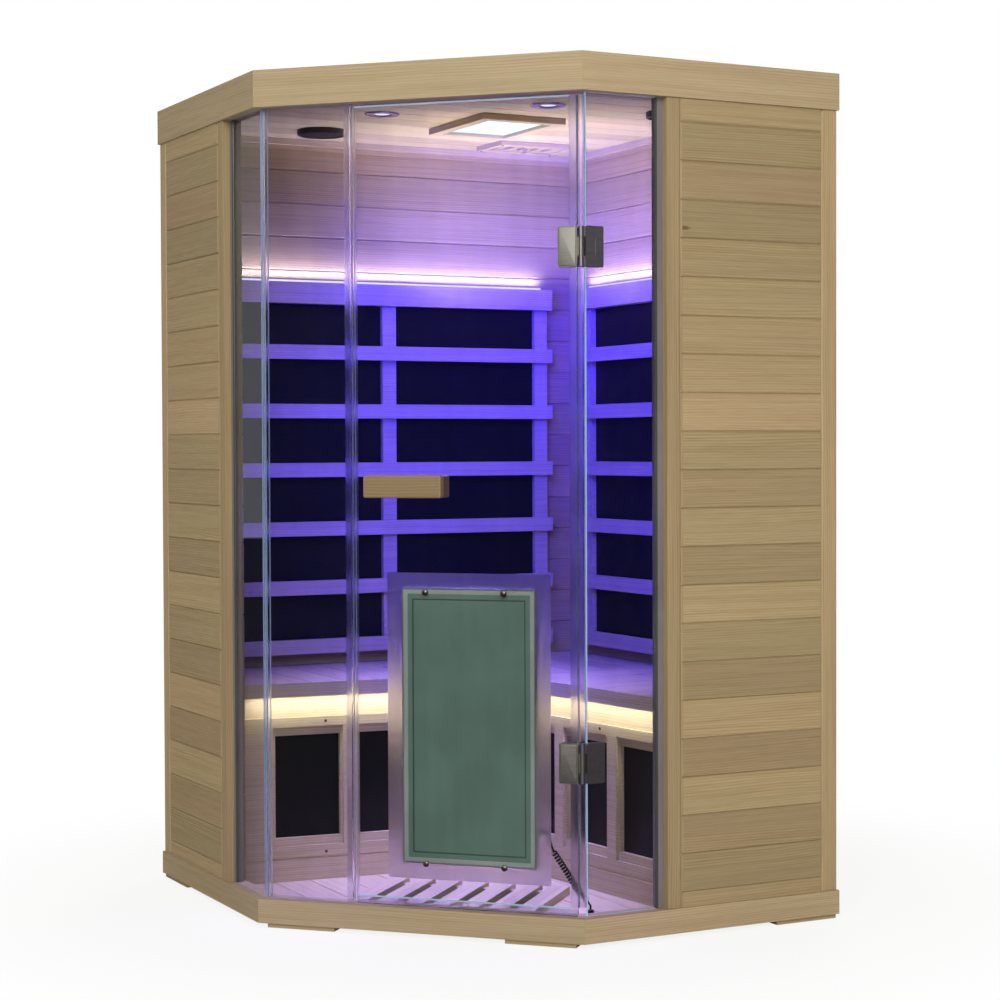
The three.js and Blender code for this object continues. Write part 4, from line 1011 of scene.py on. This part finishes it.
class CABIN_OT_ceiling(bpy.types.Operator):
    """Adds grilles, lenses, vent screws and the touch panel's face, and lights the diffusers."""

    bl_idname = "cabin.ceiling"
    bl_label = "Ceiling fittings"

    def execute(self, context):
        fittings, lamps = settings("fittings"), settings("lamps")
        black = moulded("moulded_black", fittings.black, scale=900.0)
        dress(["speaker_left", "speaker_right", "cord_floor_gland", "power_unit", "control_panel"], black)
        chrome = brushed("polished_rim", fittings.chrome, (300.0, 300.0, 300.0), roughness=0.08)
        dress(["downlight_left", "downlight_right"], chrome)
        dress(["light_diffuser"], lit("panel_glow", lamps.panel, strength=1.2))
        dress(["back_left_led_strip", "back_right_led_strip"], lit("cove_glow", lamps.cool, strength=1.6))
        dress(["bench_led_strip"], lit("bench_glow", lamps.warm, strength=1.2))
        lens_glow = lit("lens_glow", lamps.lens, strength=1.15)
        mesh = self.grille()
        for side in ("left", "right"):
            self.add_grille(side, mesh)
            self.add_lens(side, lens_glow)
        self.add_vent_screws()
        self.add_touch_panel(lamps)
        return {"FINISHED"}

    def middle_under(self, name, rise):
        """The middle of a ceiling fitting, a little above its lowest face."""
        low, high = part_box(name)
        return (low.x + high.x) / 2, (low.y + high.y) / 2, low.z + rise

    def add_grille(self, side, material):
        """A speaker's mesh: a shallow dome whose height is a parabola of the radius."""
        radius, crown = 51 * MM, 2.6 * MM
        swell = np.linspace(0, 1, 12)[:-1]
        dome = np.stack([radius * (1 - swell), crown * (1 - (1 - swell) ** 2)], axis=-1)
        centre = self.middle_under(f"speaker_{side}", 2.9 * MM)
        piece = revolved(f"speaker_grille_{side}", [(radius, -0.5 * MM), *dome], centre, DOWN, segments=64)
        finish_piece(piece, "cabin", material)

    def add_lens(self, side, material):
        """A downlight's lens: a domed plug that fills the recess."""
        lens = domed(19 * MM, foot=-4.7 * MM, base=0.0, rise=3 * MM, reach=0.48)
        centre = self.middle_under(f"downlight_{side}", 3.4 * MM)
        piece = revolved(f"downlight_lens_{side}", lens, centre, DOWN)
        finish_piece(piece, "cabin", material)

    def grille(self):
        """Black woven speaker mesh: two crossed waves make the holes."""
        finish = Finish("speaker_mesh")
        parts = finish.parts(finish.place)
        waves = [finish.wave(parts[i], rate=2100.0) for i in (0, 1)]
        weave = finish.ramp(finish.times(*waves), -0.4, 0.6)
        finish.set({
            "Base Color": finish.mix(weave, (0.004, 0.004, 0.005, 1), (0.03, 0.03, 0.034, 1)),
            "Roughness": finish.ramp(weave, 0.0, 1.0, 0.7, 0.4),
        })
        finish.bump(weave, strength=0.5, distance=0.6 * MM)
        return finish.material

    def add_vent_screws(self):
        """Four small screws in the corners of the roof vent's frame."""
        middle = Vector(self.middle_under("vent_frame", 0.0))
        far, wide = 101 * MM * ALONG_A, 61 * MM * ALONG_B
        profile = screw_profile(radius=2.4 * MM)
        for number, (a, b) in enumerate(((1, 1), (-1, 1), (-1, -1), (1, -1))):
            centre = middle + a * far + b * wide
            piece = revolved(f"vent_screw_{number + 1}", profile, centre, DOWN, segments=20)
            finish_piece(piece, "cabin", screw_steel())

    def add_touch_panel(self, lamps):
        """Glass face, lit display and round touch keys on the control panel."""
        low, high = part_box("control_panel")
        normal = -ALONG_B
        half_panel, thickness = 6.1 * MM, 1.5 * MM
        face = (low + high) / 2 + normal * half_panel
        finish = Finish("touch_glass")
        gloss = finish.ramp(finish.speckle(scale=60.0)["Roughness"], *SPECKLE_GLOSS, 0.06, 0.16)
        finish.set({"Base Color": (0.012, 0.012, 0.014, 1.0), "Roughness": gloss})
        glass = plate("touch_glass", face, normal, 144 * MM, 104 * MM,
                      radius=8 * MM, thickness=thickness, edge=1 * MM)
        finish_piece(glass, "cabin", finish.material)
        front = face + normal * (thickness + 0.05 * MM)
        above = front + Vector((0, 0, 18 * MM))
        display = plate("touch_display", above, normal, 92 * MM, 38 * MM,
                        radius=3 * MM, thickness=0.3 * MM, edge=0.1 * MM)
        finish_piece(display, "cabin", lit("display_glow", lamps.display, strength=1.0))
        glow = lit("key_glow", lamps.key, strength=1.0)
        ring = np.array([(6.0, 0.0), (6.0, 0.25), (4.9, 0.25), (4.9, 0.02)]) * MM
        level = Vector((-normal.y, normal.x, 0.0))
        pitch, drop = 24 * MM, Vector((0, 0, 26 * MM))
        for number in range(5):
            centre = front + level * (number - 2) * pitch - drop
            key = revolved(f"touch_key_{number + 1}", ring, centre, normal, segments=32)
            finish_piece(key, "cabin", glow)


# Curly cord


def cord_axis(samples):
    """The cord's route: a cubic curve through chosen points, sampled evenly by length. Each span is timed by
    the root of its length, and its slopes come from the spans beside it."""
    points = np.array([
        (270.3, 45, 240), (277, 45, 240), (284.5, 47.5, 235), (288.5, 51, 222),
        (291, 55, 207), (296, 61, 192), (316, 83, 148), (336, 104.5, 104),
        (350, 119, 80), (355.3, 124.3, 70), (356, 125, 69), (356, 125, 60.6),
    ]) * MM + np.array([0.0, FRONT_Y, 0.0])
    knots = np.vstack([2 * points[0] - points[1], points, 2 * points[-1] - points[-2]])
    before, first, second, after = (knots[i:len(knots) - 3 + i, None] for i in range(4))
    share = np.linspace(0, 1, 200)[None, :, None]
    step = lambda p, q: np.sqrt(np.linalg.norm(q - p, axis=-1, keepdims=True))
    d0, d1, d2 = step(before, first), step(first, second), step(second, after)
    leave = ((first - before) / d0 - (second - before) / (d0 + d1) + (second - first) / d1) * d1
    arrive = ((second - first) / d1 - (after - first) / (d1 + d2) + (after - second) / d2) * d1
    cubic = first + leave * share + (3 * (second - first) - 2 * leave - arrive) * share**2
    cubic = cubic + (2 * (first - second) + leave + arrive) * share**3
    line = cubic.reshape(-1, 3)
    travelled = np.concatenate([[0.0], np.cumsum(np.linalg.norm(np.diff(line, axis=0), axis=-1))])
    wanted = samples * travelled[-1]
    return np.stack([np.interp(wanted, travelled, line[:, i]) for i in range(3)], axis=-1)


def unit(vectors):
    """The same directions at length 1."""
    return vectors / np.linalg.norm(vectors, axis=-1, keepdims=True)


def frames_along(path, first_across):
    """Directions across a path, carried from ring to ring without twist about it."""
    tangent = unit(np.gradient(path, axis=0))
    across = np.empty_like(path)
    current = np.asarray(first_across, float)
    for i, direction in enumerate(tangent):
        current = unit(current - direction * (current @ direction))
        across[i] = current
    return across, np.cross(tangent, across)


class CABIN_OT_cord(bpy.types.Operator):
    """Makes the curly cord from the door heater to its gland in the floor."""

    bl_idname = "cabin.cord"
    bl_label = "Curly cord"

    def execute(self, context):
        cord = settings("cord")
        path = self.route(cord)
        across, over = frames_along(path, UP)
        circle = unit_circle(12)[None]
        ring = circle[..., :1] * across[:, None] + circle[..., 1:] * over[:, None]
        piece = grid_object("curly_cord", path[:, None] + cord.diameter / 2 * ring)
        black = moulded("cord_sheath", cord.sheath, scale=1800.0, bump=0.15)
        piece.data.materials.append(black)
        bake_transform(piece)
        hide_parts("heater_cord")
        nut = self.add_gland(path[-1], black)
        return {"FINISHED"}

    def route(self, cord):
        """Points of the cord: the axis plus a circle whose radius swells in over one curl at each end."""
        lead_steps, curl_steps, nudge = 40, 24, 0.002
        lead = np.linspace(0, cord.curl_from, lead_steps, endpoint=False)
        curls = np.linspace(cord.curl_from, cord.curl_to, cord.curls * curl_steps, endpoint=False)
        share = np.concatenate([lead, curls, np.linspace(cord.curl_to, 1, curl_steps)])
        turned = np.clip((share - cord.curl_from) / (cord.curl_to - cord.curl_from), 0, 1)
        ease = np.minimum(1, np.minimum(turned, 1 - turned) * cord.curls)[:, None]
        swell = cord.curl_radius * ease**2 * (3 - 2 * ease)
        tangent = unit(cord_axis(np.minimum(share + nudge, 1)) - cord_axis(np.maximum(share - nudge, 0)))
        side = np.array([1.0, -1.0, 0.0]) / ROOT2
        across = unit(side - tangent * (tangent @ side)[:, None])
        over = np.cross(tangent, across)
        angle = (2 * np.pi * cord.curls * turned)[:, None]
        return cord_axis(share) + swell * (np.cos(angle) * across + np.sin(angle) * over)

    def add_gland(self, end, material):
        """Ribbed nut of the floor gland: rings whose radius rises and falls with the ribs."""
        low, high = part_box("cord_floor_gland")
        rise = np.linspace(0.02, 0.98, 40)
        radius = 7.2 * MM + 0.5 * MM * np.sin(rise * 10 * np.pi)
        profile = np.stack([radius, low.z + 0.3 * MM + rise * (high.z - low.z - 1 * MM)], axis=-1)
        nut = revolved("floor_gland_nut", profile, (end[0], end[1], 0.0), UP, segments=32)
        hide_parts("cord_floor_gland")
        return finish_piece(nut, "cabin", material)


# Stage

WHITE = (1.0, 1.0, 1.0, 1.0)
STUDIO_WHITE = (1.0, 0.98, 0.95)


class CABIN_OT_stage(bpy.types.Operator):
    """Sets the camera, the pale floor, the studio light and the cabin's own lamps."""

    bl_idname = "cabin.stage"
    bl_label = "Stage"

    def execute(self, context):
        stage = settings("stage")
        context.scene.view_settings.view_transform = "Standard"
        self.add_camera(context, stage)
        self.add_floor(stage)
        self.add_world(context, stage)
        aim = Vector((0.0, 0.0, 0.95))
        self.lamp("key", (1.2, -6.0, 3.4), aim, (3.2, 2.6), stage.key_power, (1.0, 0.97, 0.93))
        self.lamp("side", (-5.0, -3.0, 3.0), aim, (2.5, 2.5), stage.side_power, STUDIO_WHITE)
        self.lamp("back", (0.0, 6.5, 3.6), aim, (3.0, 2.5), stage.back_power, STUDIO_WHITE)
        self.add_cabin_lamps(settings("lamps"))
        return {"FINISHED"}

    def add_camera(self, context, stage):
        camera = bpy.data.cameras.new("camera")
        camera.lens = stage.lens
        camera.sensor_width = 36.0
        holder = bpy.data.objects.new("camera", camera)
        aimed = Matrix.Rotation(stage.yaw, 4, "Z") @ Matrix.Rotation(math.pi / 2 + stage.pitch, 4, "X")
        holder.matrix_world = Matrix.Translation(stage.place) @ aimed @ Matrix.Rotation(stage.roll, 4, "Z")
        context.scene.collection.objects.link(holder)
        context.scene.camera = holder

    def add_floor(self, stage):
        """A level square under the cabin, white to the camera except where the cabin shades it."""
        ends = np.array([-0.5, 0.5]) * stage.floor_size
        y, x = np.meshgrid(ends, ends, indexing="ij")
        corners = np.stack([x, y, np.zeros((2, 2))], axis=-1)
        floor = grid_object("studio_floor", corners, closed_columns=False, caps=False)
        finish = Finish("studio_floor")
        finish.set({"Base Color": (0.86, 0.86, 0.86, 1.0), "Roughness": 0.9})
        seen, mirror_ray = finish.ray_masks()
        distance = finish.vector("LENGTH", finish.place, (0, 0, 0), "Value")
        share = finish.times(seen, finish.ramp(distance, 0.8, 1.7, stage.floor_glow, 1.0))
        dark = finish.add("Emission", {"Color": WHITE, "Strength": stage.mirrored}).outputs[0]
        white = finish.add("Emission", {"Color": WHITE, "Strength": 1.0}).outputs[0]
        unseen = finish.mix_shaders(mirror_ray, finish.shader.outputs[0], dark)
        finish.show(finish.mix_shaders(share, unseen, white))
        floor.data.materials.append(finish.material)

    def add_world(self, context, stage):
        """Even light all round. The camera sees it white, also through glass, and mirrors see a dark studio
        ahead that grows pale to the left, above and below."""
        world = bpy.data.worlds.new("studio")
        world.use_nodes = True
        studio = Nodes(world.node_tree)
        even = studio.tree.nodes["Background"]
        even.inputs["Color"].default_value = WHITE
        seen, mirror_ray = studio.ray_masks()
        towards = studio.parts(studio.add("TexCoord").outputs["Generated"])
        steep = studio.ramp(studio.absolute(towards[2]), 0.25, 0.6, 0.0, 0.75)
        left = studio.ramp(towards[0], -0.75, -0.95, 0.0, 0.28)
        mirrored = studio.larger(studio.larger(steep, left), stage.mirrored)
        unseen = studio.mix_values(mirror_ray, stage.ambient, mirrored)
        studio.feed(even.inputs["Strength"], studio.mix_values(seen, unseen, 1.0))
        context.scene.world = world

    def lamp(self, name, place, aim, size, power, tone, spread=180, along=None):
        """A soft rectangular lamp that looks at a point, with its long side along a direction where one is
        given. Only the key lamp shows in mirrors."""
        light = bpy.data.lights.new(name, "AREA")
        light.shape = "RECTANGLE"
        light.size, light.size_y = size
        light.energy = power
        light.color = tone
        light.spread = math.radians(spread)
        holder = bpy.data.objects.new(name, light)
        holder.location = place
        beam = Vector(aim) - Vector(place)
        holder.rotation_euler = beam.to_track_quat("-Z", "Y").to_euler()
        if along is not None:
            beam.normalize()
            side = (along - beam * along.dot(beam)).normalized()
            holder.rotation_euler = Matrix((side, side.cross(beam), -beam)).transposed().to_euler()
        holder.visible_camera = False
        holder.visible_glossy = name == "key"
        holder.visible_transmission = False
        bpy.context.scene.collection.objects.link(holder)

    def add_cabin_lamps(self, lamps):
        """Coloured light into the cabin, the cove and bench strips and a soft light on the ceiling."""
        centred = lambda along, z: corner_point(along, along, z)
        violet, power = lamps.violet, lamps.violet_power
        place, aim = centred(0.8, 1.28), centred(0.1, 1.02)
        self.lamp("violet", place, aim, (0.8, 0.8), power, violet, spread=125)
        place, aim = centred(0.76, 1.66), centred(0.1, 1.5)
        self.lamp("violet_high", place, aim, (0.6, 0.15), 0.34 * power, violet, spread=64)
        place, aim = centred(0.74, 1.8), centred(0.73, 0.0)
        self.lamp("violet_down", place, aim, (0.4, 0.4), 0.42 * power, lamps.lilac, spread=44)
        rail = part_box("back_left_guard")[1].z + 12 * MM
        for side, along in (("left", ALONG_A), ("right", ALONG_B)):
            place, aim = side_point(side, 0.62, 0.074, rail), side_point(side, 0.62, 0.05, rail + 0.3)
            self.lamp(f"cove_{side}", place, aim, (0.92, 0.012), lamps.cove_power, lamps.cool, along=along)
        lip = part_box("bench_seat_left")[0].z - 2 * MM
        for side in ("left", "right"):
            place, aim = side_point(side, 0.82, 0.463, lip), side_point(side, 0.82, 0.458, 0.1)
            along = side_point(side, 1.14, 0.43, lip) - side_point(side, 0.5, 0.495, lip)
            self.lamp(f"bench_{side}", place, aim, (0.6, 0.008), lamps.bench_power, lamps.warm, along=along)
        place, aim = centred(MIDDLE, 1.4), centred(MIDDLE - 0.08, 1.9)
        self.lamp("room", place, aim, (0.4, 0.4), lamps.room_power, lamps.room, spread=125)


# Add-on


class CABIN_PT_sidebar(bpy.types.Panel):
    """Lists the cabin's operators and settings."""

    bl_idname = "CABIN_PT_sidebar"
    bl_label = "Corner Sauna Cabin"
    bl_space_type = "VIEW_3D"
    bl_region_type = "UI"
    bl_category = "Cabin"

    def draw(self, context):
        for operator in OPERATORS:
            self.layout.operator(operator.bl_idname)
        for name, group in GROUPS.items():
            box = self.layout.box()
            for key in group.__annotations__:
                box.prop(settings(name), key)


GROUPS = {
    "timber": CabinTimber,
    "glazing": CabinGlazing,
    "fittings": CabinFittings,
    "lamps": CabinLamps,
    "cord": CabinCord,
    "stage": CabinStage,
}
OPERATORS = (
    CABIN_OT_stage,
    CABIN_OT_cord,
    CABIN_OT_timber,
    CABIN_OT_glazing,
    CABIN_OT_heaters,
    CABIN_OT_hardware,
    CABIN_OT_ceiling,
)


def register():
    for cls in (*GROUPS.values(), *OPERATORS, CABIN_PT_sidebar):
        bpy.utils.register_class(cls)
    for name, group in GROUPS.items():
        setattr(bpy.types.Scene, f"cabin_{name}", bpy.props.PointerProperty(type=group))


def unregister():
    for name in GROUPS:
        delattr(bpy.types.Scene, f"cabin_{name}")
    for cls in (CABIN_PT_sidebar, *reversed(OPERATORS), *reversed(GROUPS.values())):
        bpy.utils.unregister_class(cls)


def main():
    register()
    bpy.ops.cabin.stage()
    bpy.ops.cabin.cord()
    bpy.ops.cabin.timber()
    bpy.ops.cabin.glazing()
    bpy.ops.cabin.heaters()
    bpy.ops.cabin.hardware()
    bpy.ops.cabin.ceiling()


if __name__ == "__main__":
    main()
